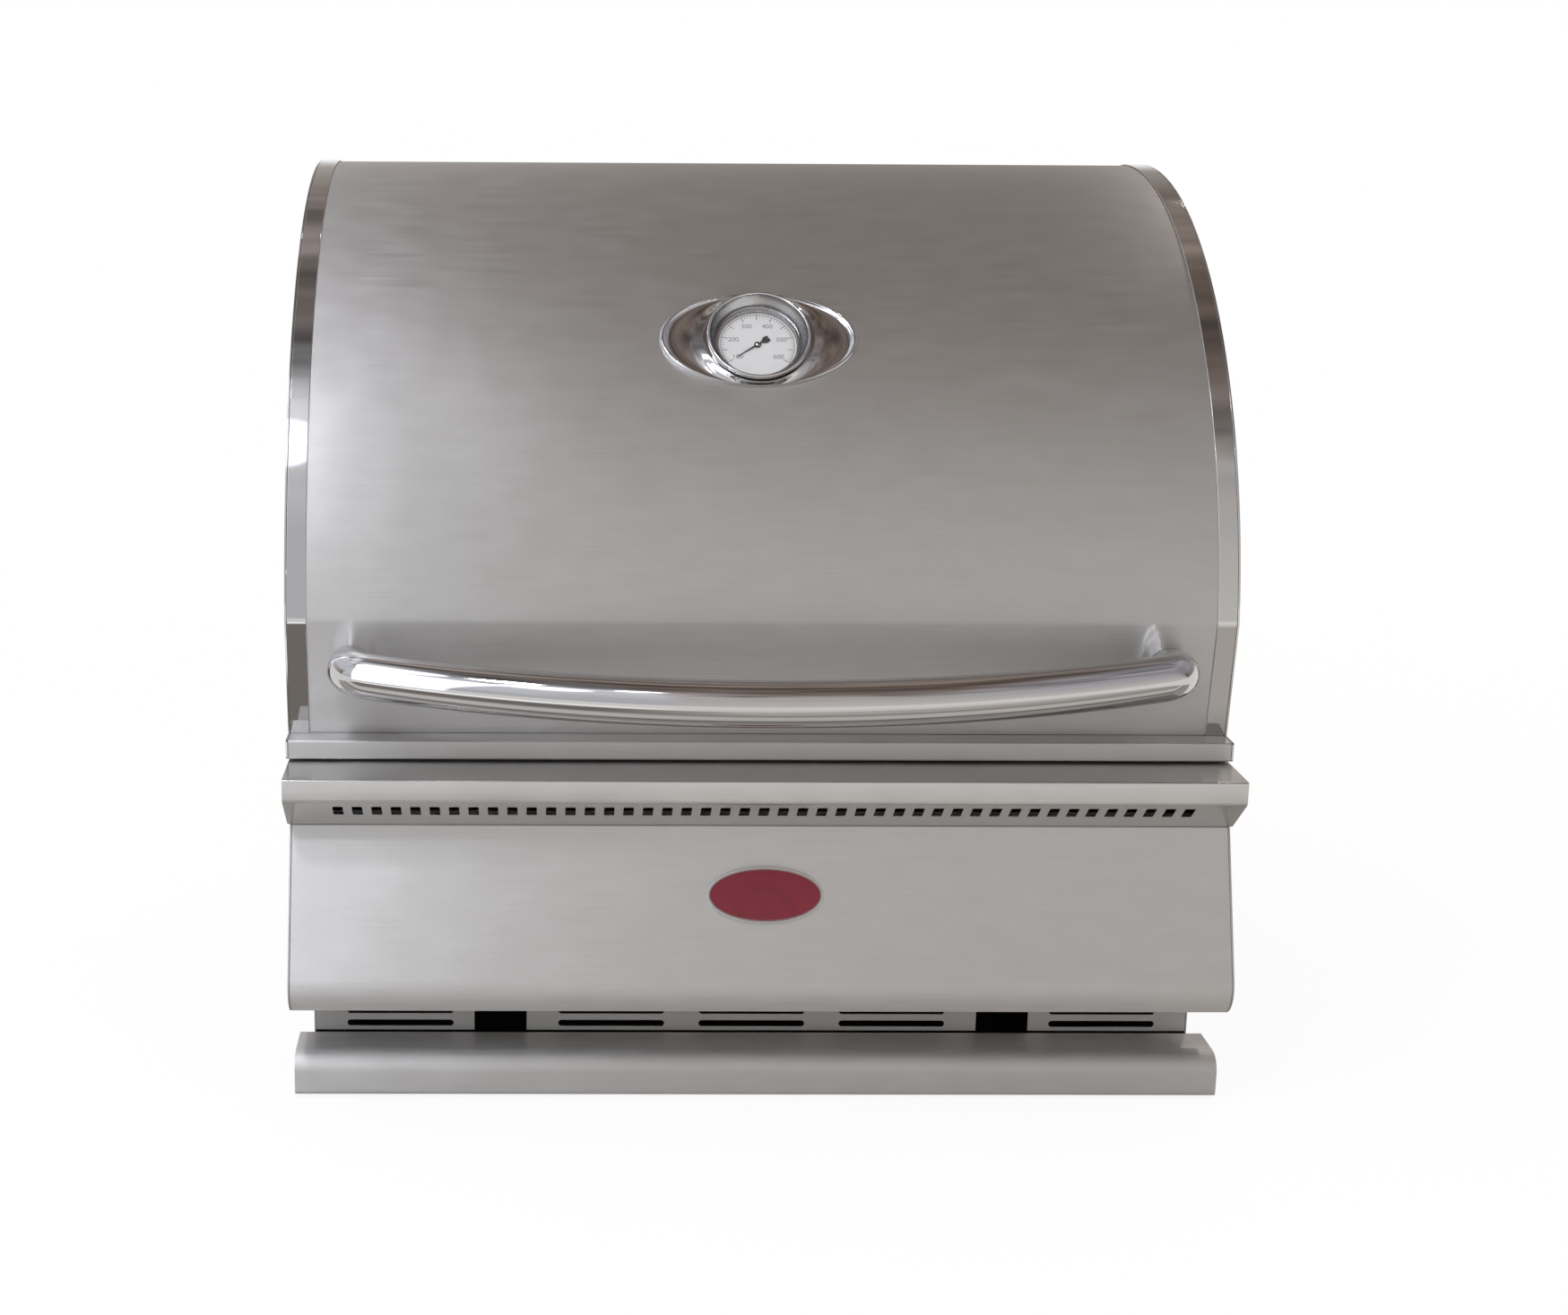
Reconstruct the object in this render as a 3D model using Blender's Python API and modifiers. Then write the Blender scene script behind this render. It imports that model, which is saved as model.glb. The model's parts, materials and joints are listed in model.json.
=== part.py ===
"""Built-in charcoal grill: a drop-in firebox under a rear-hinged stainless hood.

Frame: the origin is the centre of the base's underside, +Z is up, the front faces -Y and +X is the
right-hand side of someone standing in front. Lengths are metres.

Side profiles are written as pairs (depth, height): depth is how far back from the counter flange's
front edge, and height is how far above the flange's top face. place() turns such a pair into Y and Z.
"""
import math

import bmesh
import bpy
from mathutils import Matrix, Vector

# Sheets and clearances
SHEET = 0.0015            # folded stainless panels
LINER_SHEET = 0.002       # heavier sheet round the fire
FIT = 0.0003              # gap between pieces that touch
OVERRUN = 0.004           # how far a cutter runs past what it cuts
WELD = 0.00002            # distance under which two curve points are one

# Counter flange and body
FLANGE_WIDTH = 0.787
FLANGE_DEPTH = 0.622
RIM_HEIGHT = 0.286        # base underside to the flange's top face
FLANGE_REACH = 0.0155     # flange beyond the side panels
REAR_REACH = 0.0205       # flange beyond the back panel
WALL_DEPTH = 0.074        # front wall's face, behind the flange's front edge
FLOOR_GAP = 0.0025        # ash tray above the floor pan

# Vented front rail
RAIL_FACE = 0.019         # height of the flange's front face
VENT_SETBACK = 0.036
VENT_DROP = 0.049
SLOT_COUNT = 45
SLOT_MARGIN = 0.04425     # flange's end to the middle of the outermost slot
SLOT_WIDTH = 0.0085
SLOT_LENGTH = 0.017
SLOT_PLACE_SHARE = 0.37    # slots' middle, of the way down the slope

# Fascia, its end caps and the stiles behind them
FASCIA_INSET = 0.002      # fascia's end, in from the flange's end
NOSE_RADIUS = 0.0265
NOSE_DEPTH = 0.019
NOSE_RISE = 0.0251        # nose's centre above the fascia's bottom edge
FINGER_GAP = 0.0444       # open height between the fascia and the ash tray's front
FASCIA_RETURN = 0.034
STILE_INSET = 0.0205      # stile's inner edge, in from the fascia's end
STILE_THICKNESS = 0.0032
EMBLEM_WIDTH = 0.095
EMBLEM_HEIGHT = 0.0446
EMBLEM_RIM = 0.0038
EMBLEM_THICKNESS = 0.0032
EMBLEM_FLOOR = 0.0012
EMBLEM_PLACE_SHARE = 0.42  # of the way down the fascia's flat face

# Air slots and lighting ports of the front wall
WALL_SLOT_LENGTH = 0.0915
WALL_SLOT_HEIGHT = 0.0055
WALL_SLOT_SHARES = (-0.4015, -0.1606, 0, 0.1606, 0.4015)   # of the body's width, from its middle
WALL_SLOT_ROWS = 2
WALL_SLOT_PITCH = 0.0115
WALL_SLOT_RISE = 0.0065   # lowest row above the wall's bottom edge
PORT_SIZE = 0.045
PORT_SHARES = (-0.2872, 0.2872)   # of the body's width

# Firebox
BOX_SIDE_GAP = 0.028      # firebox inside, in from the side panels' outer faces
BOX_FRONT = 0.097
BOX_BACK_GAP = 0.0215     # firebox inside, ahead of the back panel's outer face
BOX_CLEARANCE = 0.060     # bottom edge of the firebox walls above the base's underside
LEDGE_DROP = 0.030
LEDGE_SHELF = 0.014
LEDGE_LEG = 0.016

# Cooking grates
GRATE_SIDE_GAP = 0.003
GRATE_END_GAP = 0.003
GRATE_BAR = 0.0095        # side of the square bars, which stand on an edge
GRATE_BAR_COUNT = 20
CROSS_BAR_WIDTH = 0.006
CROSS_BAR_HEIGHT = 0.004
CROSS_BAR_COUNT = 3
CROSS_BAR_INSET = 0.009
GRATE_BITE = 0.001        # how deep the bars sit in the cross bars

# Charcoal tray and the pins that carry it
TRAY_SIDE_GAP = 0.025
TRAY_END_GAP = 0.018
TRAY_HEIGHT = 0.042
TRAY_CLEARANCE = 0.036    # underside of the tray above the firebox walls' bottom edge
TRAY_SLOT_ROWS = 3
TRAY_SLOT_COLUMNS = 14
TRAY_SLOT_WIDTH = 0.012
TRAY_SLOT_MARGIN = 0.030
TRAY_BRIDGE = 0.020       # sheet left between two rows of slots
HANDLE_ROD = 0.008
TRAY_HANDLE_LENGTH = 0.110
TRAY_HANDLE_REACH = 0.016
TRAY_HANDLE_DROP = 0.012
PIN_DIAMETER = 0.008
PIN_HEAD_DIAMETER = 0.014
PIN_HEAD = 0.003
PIN_REACH = 0.015         # how far a pin runs under the tray
PIN_PLACE_SHARE = 0.3     # of the tray's length, to each side of its middle
PIN_LEVELS = 3
PIN_LEVEL_PITCH = 0.030

# Ash tray on its runners
ASH_SIDE_GAP = 0.026      # pan's side, in from the side panel's outer face
ASH_BACK_GAP = 0.0165     # pan's back, ahead of the back panel's outer face
ASH_HEIGHT = 0.031
ASH_RIM_WIDTH = 0.0175
RUNNER_SHELF = 0.018
RUNNER_LEG = 0.016
RUNNER_SHEET = 0.0017
FRONT_INSET = 0.0035      # front rail's end, in from the flange's end
FRONT_DEPTH = 0.019
FRONT_BACK_DEPTH = 0.0705
FRONT_CLEARANCE = 0.0024  # front rail's underside above the base's underside
FRONT_HEIGHT = 0.0356
FRONT_TOP_RADIUS = 0.015
FRONT_BOTTOM_RADIUS = 0.004

# Hood
HOOD_OVERHANG = 0.0022    # hood's end beyond the flange's end
HOOD_GAP = 0.0016         # hood's bottom edge above the flange
LIP_DEPTH = 0.054
LIP_HEIGHT = 0.0164
LIP_REACH = 0.0385
LIP_RADIUS = 0.0015
SKIN_DEPTH = 0.078        # foot of the skin
CREASE_DEPTH = 0.0645
CREASE_HEIGHT = 0.1175
CROWN_RADIUS = 0.4058
CROWN_LEAN = math.radians(6.45)
HOOD_BACK_INSET = 0.0242  # hood's upright back, ahead of the flange's rear edge
SKIN_END_HEIGHT = 0.050
TRIM_WIDTH = 0.016
TRIM_SHEET = 0.0012
END_SHEET = 0.0017
REST_SIZE = 0.012
REST_INSET = 0.030

# Hood hinge and the upstand behind the fire
HINGE_INSET = 0.0098      # hinge axis ahead of the hood's upright back
HINGE_HEIGHT = 0.020
HINGE_PIN_DIAMETER = 0.010
HINGE_HEAD_DIAMETER = 0.016
HINGE_HEAD = 0.0025
HINGE_PIN_TAIL = 0.003     # how far a pin runs past its bracket
BRACKET_SHEET = 0.003
BRACKET_INSET = 0.0125
BRACKET_REACH = 0.018
HINGE_EYE = 0.0095
EYE_TURN = math.radians(20)   # slope of the end plates' lower rear corner
UPSTAND_HEIGHT = 0.044
UPSTAND_FOOT = 0.012

# Hood handle
HANDLE_DIAMETER = 0.0381
HANDLE_POST_INSET = 0.0547
HANDLE_BEND_RADIUS = 0.028
HANDLE_BEND_OUT = 0.018   # centre of the bends out of the skin
HANDLE_POST_RISE = math.radians(18)   # posts' rise from the skin's normal
HANDLE_STAND_OFF = 0.100
HANDLE_HEIGHT = 0.0865    # where the bow's plane meets the skin
BOLT_DIAMETER = 0.008
BOLT_GRIP = 0.020
BOLT_HEAD_DIAMETER = 0.016
BOLT_HEAD = 0.005

# Gauge, sunk through the plate and the skin
GAUGE_ANGLE = math.radians(41.5)
PLATE_WIDTH = 0.168
PLATE_HEIGHT = 0.0942
PLATE_RISE = 0.004
PLATE_SKIRT = 0.004
PLATE_ROUND = 0.0012
BEZEL_DIAMETER = 0.088
BEZEL_HEIGHT = 0.005
BEZEL_ROUND = 0.0015
CHAMFER_SHARE = 0.33       # of the rounding, where its middle point lies
MOUTH_DIAMETER = 0.080
CUP_DIAMETER = 0.083
CUP_FLOOR = 0.0024
DIAL_DIAMETER = 0.070
DIAL_DEPTH = 0.017        # dial's face under the bezel's top
DIAL_SHEET = 0.0008
LENS_RISE = 0.0047        # lens above the dial's face
LENS_SHEET = 0.0015
LENS_SEAT = 0.0012
NEEDLE_LENGTH = 0.022
NEEDLE_TAIL = 0.008
NEEDLE_TAIL_RADIUS = 0.0038
NEEDLE_WIDTH = 0.0016
NEEDLE_SHEET = 0.0006
NEEDLE_HUB_DIAMETER = 0.006
NEEDLE_HUB = 0.0016
NEEDLE_ARBOR_DIAMETER = 0.0024
NEEDLE_ANGLE = math.radians(215)
STEM_DIAMETER = 0.010
STEM_LENGTH = 0.060
NUT_WALL = 0.006
NUT_HEIGHT = 0.005

# How finely the round forms are faceted
CROWN_STEPS = 28
BACK_STEPS = 12
BEND_STEPS = 8
BOW_STEPS = 22
HANDLE_RINGS = 6
HEX_SIDES = 6
SMALL_SIDES = 12
ROUND_SIDES = 24
FINE_SIDES = 48
SEAT_SIDES = 336
SMOOTH_ANGLE = math.radians(35)

# Finishes: base colour, metallic, roughness
BRUSHED = ((0.62, 0.62, 0.61), 1.0, 0.32)
POLISHED = ((0.78, 0.78, 0.79), 1.0, 0.06)
PLAIN_STEEL = ((0.55, 0.55, 0.54), 1.0, 0.42)
HEAT_STEEL = ((0.30, 0.28, 0.26), 1.0, 0.55)
ENAMEL = ((0.20, 0.03, 0.03), 0.0, 0.25)
DIAL_WHITE = ((0.85, 0.85, 0.83), 0.0, 0.5)
POINTER = ((0.08, 0.08, 0.08), 0.0, 0.45)
GLASS = ((0.9, 0.95, 0.95), 0.0, 0.05)

# Widths and depths that follow from the flange
FRONT_Y = -FLANGE_DEPTH / 2
HALF_FLANGE = FLANGE_WIDTH / 2
HALF_BODY = HALF_FLANGE - FLANGE_REACH
HALF_HOOD = HALF_FLANGE + HOOD_OVERHANG
HALF_BOX = HALF_BODY - BOX_SIDE_GAP
HALF_FASCIA = HALF_FLANGE - FASCIA_INSET
SKIN_HALF = HALF_HOOD - END_SHEET - FIT
SLOT_PITCH = (FLANGE_WIDTH - 2 * SLOT_MARGIN) / (SLOT_COUNT - 1)
BODY_END_DEPTH = FLANGE_DEPTH - REAR_REACH
BOX_BACK = BODY_END_DEPTH - BOX_BACK_GAP
HOOD_BACK_DEPTH = FLANGE_DEPTH - HOOD_BACK_INSET
HINGE_DEPTH = HOOD_BACK_DEPTH - HINGE_INSET
BACK_RADIUS = HOOD_BACK_DEPTH - CREASE_DEPTH - CROWN_RADIUS * math.cos(CROWN_LEAN)

# Heights that follow from the rim, and the offsets that several pieces share
FRONT_BOTTOM_DROP = RIM_HEIGHT - FRONT_CLEARANCE
FRONT_TOP_DROP = FRONT_BOTTOM_DROP - FRONT_HEIGHT
FASCIA_DROP = FRONT_TOP_DROP - FINGER_GAP
NOSE_DROP = FASCIA_DROP - NOSE_RISE
WALL_BOTTOM = -FRONT_TOP_DROP + 2 * FIT
TRIM_OFFSET = FIT + TRIM_SHEET
UNDER_FLANGE = -SHEET - FIT
SIDES = (("left", -1), ("right", 1))

PARTS = None
CUTTERS = None


def place(depth, height):
    """Y and Z of a point given by its depth behind the flange's edge and height above its top."""
    return FRONT_Y + depth, RIM_HEIGHT + height


def clear_scene():
    """Remove what the file holds and make the two collections."""
    global PARTS, CUTTERS
    for thing in list(bpy.data.objects):
        bpy.data.objects.remove(thing, do_unlink=True)
    PARTS = bpy.data.collections.new("charcoal_grill")
    CUTTERS = bpy.data.collections.new("cutters")
    for group in (PARTS, CUTTERS):
        bpy.context.scene.collection.children.link(group)


def finish(thing, look):
    """Give a piece its own material."""
    colour, metallic, roughness = look
    material = bpy.data.materials.new(thing.name)
    material.use_nodes = True
    shader = material.node_tree.nodes["Principled BSDF"]
    shader.inputs["Base Color"].default_value = (*colour, 1.0)
    shader.inputs["Metallic"].default_value = metallic
    shader.inputs["Roughness"].default_value = roughness
    thing.data.materials.clear()
    thing.data.materials.append(material)
    return thing


def add_mesh(name, bm, look, centre=(0, 0, 0)):
    """Put a bmesh into the scene: a piece if it has a look, otherwise a cutter."""
    mesh = bpy.data.meshes.new(name)
    bm.to_mesh(mesh)
    bm.free()
    mesh.shade_smooth()
    mesh.set_sharp_from_angle(angle=SMOOTH_ANGLE)
    thing = bpy.data.objects.new(name, mesh)
    thing.location = centre
    if look is None:
        CUTTERS.objects.link(thing)
        thing.hide_render = True
        thing.display_type = "WIRE"
        return thing
    PARTS.objects.link(thing)
    return finish(thing, look)


def boxes_mesh(ranges, centre):
    """A bmesh of separate boxes, each given as its three ranges, about a centre."""
    bm = bmesh.new()
    for spans in ranges:
        lows = Vector([min(span) for span in spans])
        highs = Vector([max(span) for span in spans])
        middle = (lows + highs) / 2 - Vector(centre)
        shape = Matrix.Translation(middle) @ Matrix.Diagonal((*(highs - lows), 1))
        bmesh.ops.create_cube(bm, size=1, matrix=shape)
    return bm


def box(name, x_span, y_span, z_span, look):
    """One box from its three ranges, with its origin in its middle."""
    centre = [sum(span) / 2 for span in (x_span, y_span, z_span)]
    return add_mesh(name, boxes_mesh([(x_span, y_span, z_span)], centre), look, centre)


def cylinder(name, centre, radius, length, axis, look, sides=ROUND_SIDES):
    """A cylinder about its centre along X, Y or Z."""
    turn = {"X": Matrix.Rotation(math.pi / 2, 4, "Y"), "Y": Matrix.Rotation(-math.pi / 2, 4, "X"),
            "Z": Matrix.Identity(4)}[axis]
    bm = bmesh.new()
    bmesh.ops.create_cone(bm, cap_ends=True, segments=sides, radius1=radius, radius2=radius, depth=length,
                          matrix=turn)
    return add_mesh(name, bm, look, centre)


def ellipse(name, width, height, low, high, look):
    """A flat elliptical plate in its own XY plane, from one level to another."""
    shape = Matrix.Translation((0, 0, (low + high) / 2)) @ Matrix.Diagonal((width, height, high - low, 1))
    bm = bmesh.new()
    bmesh.ops.create_cone(bm, cap_ends=True, segments=FINE_SIDES, radius1=0.5, radius2=0.5, depth=1,
                          matrix=shape)
    return add_mesh(name, bm, look)


def sheet(name, profile, x_span, thickness, look):
    """A sheet folded along a side profile. It runs from the front's foot up and back."""
    bm = bmesh.new()
    rows = [[bm.verts.new((x, *place(*point))) for x in x_span] for point in profile]
    for below, above in zip(rows, rows[1:]):
        bm.faces.new((below[0], below[1], above[1], above[0]))
    thing = add_mesh(name, bm, look)
    shell = thing.modifiers.new("thickness", "SOLIDIFY")
    shell.thickness = thickness
    shell.offset = -1
    shell.use_even_offset = True
    return thing


def as_mesh(thing, look):
    """Turn a curve object into a mesh piece with its caps welded on."""
    bpy.context.view_layer.update()
    evaluated = thing.evaluated_get(bpy.context.evaluated_depsgraph_get())
    mesh = bpy.data.meshes.new_from_object(evaluated)
    bm = bmesh.new()
    bm.from_mesh(mesh)
    bmesh.ops.remove_doubles(bm, verts=bm.verts, dist=WELD)
    bmesh.ops.recalc_face_normals(bm, faces=bm.faces)
    name = thing.name
    placed = thing.matrix_world.copy()
    bpy.data.objects.remove(thing, do_unlink=True)
    bpy.data.meshes.remove(mesh)
    solid = add_mesh(name, bm, look)
    solid.matrix_world = placed
    return solid


def plate(name, outline, x_middle, thickness, look):
    """A flat plate that stands across the grill's width, cut to a side outline."""
    curve = bpy.data.curves.new(name, "CURVE")
    curve.dimensions = "2D"
    curve.fill_mode = "BOTH"
    curve.extrude = thickness / 2
    line = curve.splines.new("POLY")
    line.points.add(len(outline) - 1)
    for point, pair in zip(line.points, outline):
        point.co = (*place(*pair), 0, 1)
    line.use_cyclic_u = True
    thing = bpy.data.objects.new(name, curve)
    PARTS.objects.link(thing)
    thing.matrix_world = Matrix(((0, 0, 1, x_middle), (1, 0, 0, 0), (0, 1, 0, 0), (0, 0, 0, 1)))
    return as_mesh(thing, look)


def rod(name, points, diameter, look, resolution=2):
    """A round rod along points in space, with closed ends."""
    curve = bpy.data.curves.new(name, "CURVE")
    curve.dimensions = "3D"
    curve.bevel_depth = diameter / 2
    curve.bevel_resolution = resolution
    curve.use_fill_caps = True
    line = curve.splines.new("POLY")
    line.points.add(len(points) - 1)
    for point, spot in zip(line.points, points):
        point.co = (*spot, 1)
    thing = bpy.data.objects.new(name, curve)
    PARTS.objects.link(thing)
    return as_mesh(thing, look)


def turned(name, profile, look):
    """A turned piece about its own Z axis. The profile runs down its outer side."""
    bm = bmesh.new()
    corners = [bm.verts.new((radius, 0, level)) for radius, level in profile]
    for first, second in zip(corners, corners[1:]):
        bm.edges.new((first, second))
    thing = add_mesh(name, bm, look)
    screw = thing.modifiers.new("turn", "SCREW")
    screw.steps = FINE_SIDES
    screw.render_steps = FINE_SIDES
    screw.use_merge_vertices = True
    screw.merge_threshold = WELD
    return thing


def combine(thing, other, operation):
    """Cut a shape out of a piece, or join it on."""
    step = thing.modifiers.new(other.name, "BOOLEAN")
    step.operation = operation
    step.object = other
    return thing


def cut(thing, *cutters):
    """Take shapes out of a piece."""
    for cutter in cutters:
        combine(thing, cutter, "DIFFERENCE")
    return thing


def join(thing, *others):
    """Weld shapes onto a piece."""
    for other in others:
        combine(thing, other, "UNION")
    return thing


def round_edges(thing, width, segments=2):
    """Round a piece's sharp edges."""
    bevel = thing.modifiers.new("rounding", "BEVEL")
    bevel.width = width
    bevel.segments = segments
    bevel.limit_method = "ANGLE"
    bevel.angle_limit = SMOOTH_ANGLE
    return thing


def carrier(name, spot, pieces):
    """An empty on a joint's axis, with the pieces that move with it."""
    empty = bpy.data.objects.new(name, None)
    empty.location = spot
    PARTS.objects.link(empty)
    bpy.context.view_layer.update()
    for piece in pieces:
        world = piece.matrix_world.copy()
        piece.parent = empty
        piece.matrix_parent_inverse = empty.matrix_world.inverted()
        piece.matrix_world = world


def offset_line(points, distance):
    """A side profile moved outwards by a distance, with its corners mitred.

    Outwards is to the left of a walk from the front's foot up and back.
    """
    normals = []
    for (a_depth, a_height), (b_depth, b_height) in zip(points, points[1:]):
        run, rise = b_depth - a_depth, b_height - a_height
        length = math.hypot(run, rise)
        normals.append((-rise / length, run / length))
    moved = []
    for index, (depth, height) in enumerate(points):
        one = normals[max(index - 1, 0)]
        two = normals[min(index, len(normals) - 1)]
        scale = distance / (1 + one[0] * two[0] + one[1] * two[1])
        moved.append((depth + (one[0] + two[0]) * scale, height + (one[1] + two[1]) * scale))
    return moved


def arc(centre, radius, start, end, steps):
    """Points of an arc. Angle 0 faces the front, and a quarter turn is straight up."""
    depth, height = centre
    angles = [start + (end - start) * index / steps for index in range(steps + 1)]
    return [(depth - radius * math.cos(angle), height + radius * math.sin(angle)) for angle in angles]


def grid_places(count, pitch):
    """Places of a row of things about zero."""
    return [(index - (count - 1) / 2) * pitch for index in range(count)]


# Body under the counter


def build_body():
    """Floor pan, and side and back panels folded out at the top into the flange on the counter.

    Three deck strips close the top between these folds and the firebox.
    """
    front, back = place(WALL_DEPTH + FIT, 0)[0], place(BODY_END_DEPTH, 0)[0]
    deck_front, deck_middle = place(BOX_FRONT + FIT, 0)[0], place(BOX_BACK, 0)[0]
    wall = HALF_BODY - SHEET
    inner = wall - FIT
    top = (RIM_HEIGHT - SHEET, RIM_HEIGHT)
    fold_span = (deck_front, place(FLANGE_DEPTH, 0)[0])
    low_edge = RIM_HEIGHT + UNDER_FLANGE
    bend = (low_edge - SHEET, RIM_HEIGHT - SHEET / 2)
    for side, sign in SIDES:
        x_span = (sign * HALF_BODY, sign * wall)
        panel = box(f"side_panel_{side}", x_span, (front, back), (0, low_edge), BRUSHED)
        join(panel, box(f"flange_bend_{side}", x_span, (deck_front, back), bend, None),
             box(f"flange_{side}", (sign * wall, sign * HALF_FLANGE), fold_span, top, None))
        box(f"deck_{side}", (sign * HALF_BOX, sign * inner), (deck_front, deck_middle - FIT), top, BRUSHED)
    fold_depth = BODY_END_DEPTH - SHEET
    sheet("back_panel", [(fold_depth, SHEET + FIT - RIM_HEIGHT), (fold_depth, 0), (FLANGE_DEPTH, 0)],
          (-inner, inner), SHEET, BRUSHED)
    box("deck_rear", (-inner, inner), (deck_middle, back - SHEET - FIT), top, BRUSHED)
    box("floor_pan", (-inner, inner), (front, back), (0, SHEET), PLAIN_STEEL)


def vent_profile():
    """Side profile of the vented rail, from its lower edge forward, up and back."""
    return [(VENT_SETBACK, -VENT_DROP), (0, -RAIL_FACE), (0, 0), (BOX_FRONT, 0)]


def build_vent_rail():
    """The flange's front: a flat top, a low face and a slope with a row of square slots."""
    rail = sheet("vent_rail", vent_profile(), (-HALF_FLANGE, HALF_FLANGE), SHEET, BRUSHED)
    run, drop = VENT_SETBACK, VENT_DROP - RAIL_FACE
    slope = math.atan2(drop, run)
    centre = (0, *place(run * SLOT_PLACE_SHARE, -RAIL_FACE - drop * SLOT_PLACE_SHARE))
    half_slot, half_length = SLOT_WIDTH / 2, SLOT_LENGTH / 2
    ranges = [((x - half_slot, x + half_slot), (-half_length, half_length), (-OVERRUN, OVERRUN))
              for x in grid_places(SLOT_COUNT, SLOT_PITCH)]
    slots = add_mesh("vent_slots", boxes_mesh(ranges, (0, 0, 0)), None, centre)
    slots.rotation_euler = (-slope, 0, 0)
    cut(rail, slots)


def fascia_lean():
    """Angle of the fascia's flat face from upright."""
    run, drop = VENT_SETBACK - NOSE_DEPTH, NOSE_DROP - VENT_DROP - FIT
    return math.atan2(run, drop) + math.asin(NOSE_RADIUS / math.hypot(run, drop))


def fascia_profile():
    """Side profile of the fascia: round nose, flat leaning face and a return at its top."""
    nose_end = -math.asin((FASCIA_DROP - NOSE_DROP) / NOSE_RADIUS)
    nose = arc((NOSE_DEPTH, -NOSE_DROP), NOSE_RADIUS, nose_end, fascia_lean(), BEND_STEPS)
    top = (VENT_SETBACK, -VENT_DROP - FIT)
    return nose + [top, (VENT_SETBACK + FASCIA_RETURN, top[1])]


def build_fascia():
    """Front sheet between two end caps, whose stiles lap the side panels' front edges."""
    half = HALF_FASCIA - SHEET - FIT
    profile = fascia_profile()
    sheet("fascia", profile, (-half, half), SHEET, BRUSHED)

    stile_back = WALL_DEPTH - FIT
    stile_front = stile_back - STILE_THICKNESS
    inside = offset_line(vent_profile(), -SHEET - FIT)
    step = (inside[0][0] + FIT + FIT, profile[-2][1])
    outline = profile[:-1] + [step, (step[0], inside[0][1])] + inside[:3]
    outline += [(stile_back, inside[2][1]), (stile_back, profile[0][1])]
    front, lap, back = [place(depth, 0)[0] for depth in (stile_front, stile_back, WALL_DEPTH + FIT)]
    z_span = (RIM_HEIGHT + profile[0][1], RIM_HEIGHT + inside[2][1])
    for side, sign in SIDES:
        cap = plate(f"fascia_end_{side}", outline, sign * (HALF_FASCIA - SHEET / 2), SHEET, BRUSHED)
        inner, edge = sign * (HALF_FASCIA - STILE_INSET), sign * (HALF_FASCIA - SHEET / 2)
        lapped = box(f"stile_lap_{side}", (inner, edge), (front, lap), z_span, None)
        pad = box(f"stile_pad_{side}", (sign * (HALF_BODY + FIT), edge), (front, back), z_span, None)
        join(cap, lapped, pad)


def build_front_wall():
    """Wall behind the finger gap, with rows of air slots and two lighting ports open at its foot."""
    half = HALF_BODY - SHEET - FIT
    y_span = (place(WALL_DEPTH, 0)[0], place(WALL_DEPTH + SHEET, 0)[0])
    bottom = RIM_HEIGHT + WALL_BOTTOM
    top = RIM_HEIGHT - VENT_DROP
    wall = box("front_wall", (-half, half), y_span, (bottom, top), BRUSHED)
    cut_span = (y_span[0] - OVERRUN, y_span[1] + OVERRUN)
    reach, rise = WALL_SLOT_LENGTH / 2, WALL_SLOT_HEIGHT / 2
    ranges = []
    for row in range(WALL_SLOT_ROWS):
        level = bottom + WALL_SLOT_RISE + row * WALL_SLOT_PITCH
        for share in WALL_SLOT_SHARES:
            x = 2 * HALF_BODY * share
            ranges.append(((x - reach, x + reach), cut_span, (level - rise, level + rise)))
    port = PORT_SIZE / 2
    low = bottom + WALL_SLOT_RISE - rise
    for share in PORT_SHARES:
        x = 2 * HALF_BODY * share
        ranges.append(((x - port, x + port), cut_span, (bottom - OVERRUN, low + PORT_SIZE)))
    cut(wall, add_mesh("wall_openings", boxes_mesh(ranges, (0, 0, 0)), None))


def build_emblem():
    """Plain oval badge: a polished rim round an enamel inlay, square to the fascia."""
    lean = fascia_lean()
    drop = (NOSE_DROP - VENT_DROP) * EMBLEM_PLACE_SHARE
    spot = (VENT_SETBACK - drop * math.tan(lean) - FIT * math.cos(lean),
            -VENT_DROP - drop + FIT * math.sin(lean))
    rim = ellipse("emblem_rim", EMBLEM_WIDTH, EMBLEM_HEIGHT, 0, EMBLEM_THICKNESS, POLISHED)
    inner_width, inner_height = EMBLEM_WIDTH - 2 * EMBLEM_RIM, EMBLEM_HEIGHT - 2 * EMBLEM_RIM
    pocket = ellipse("emblem_pocket", inner_width, inner_height, EMBLEM_FLOOR, EMBLEM_THICKNESS + OVERRUN,
                     None)
    inlay = ellipse("emblem_inlay", inner_width - 2 * FIT, inner_height - 2 * FIT, EMBLEM_FLOOR + FIT,
                    EMBLEM_THICKNESS - FIT, ENAMEL)
    for thing in (rim, pocket, inlay):
        thing.location = (0, *place(*spot))
        thing.rotation_euler = (math.pi / 2 - lean, 0, 0)
    cut(rim, pocket)


# Fire, grates and trays


def tray_level():
    """Z of the charcoal tray's underside."""
    return BOX_CLEARANCE + TRAY_CLEARANCE


def pin_places():
    """Y of the two pins on each side."""
    length = BOX_BACK - BOX_FRONT - 2 * TRAY_END_GAP
    middle = place((BOX_FRONT + BOX_BACK) / 2, 0)[0]
    return [middle - length * PIN_PLACE_SHARE, middle + length * PIN_PLACE_SHARE]


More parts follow.
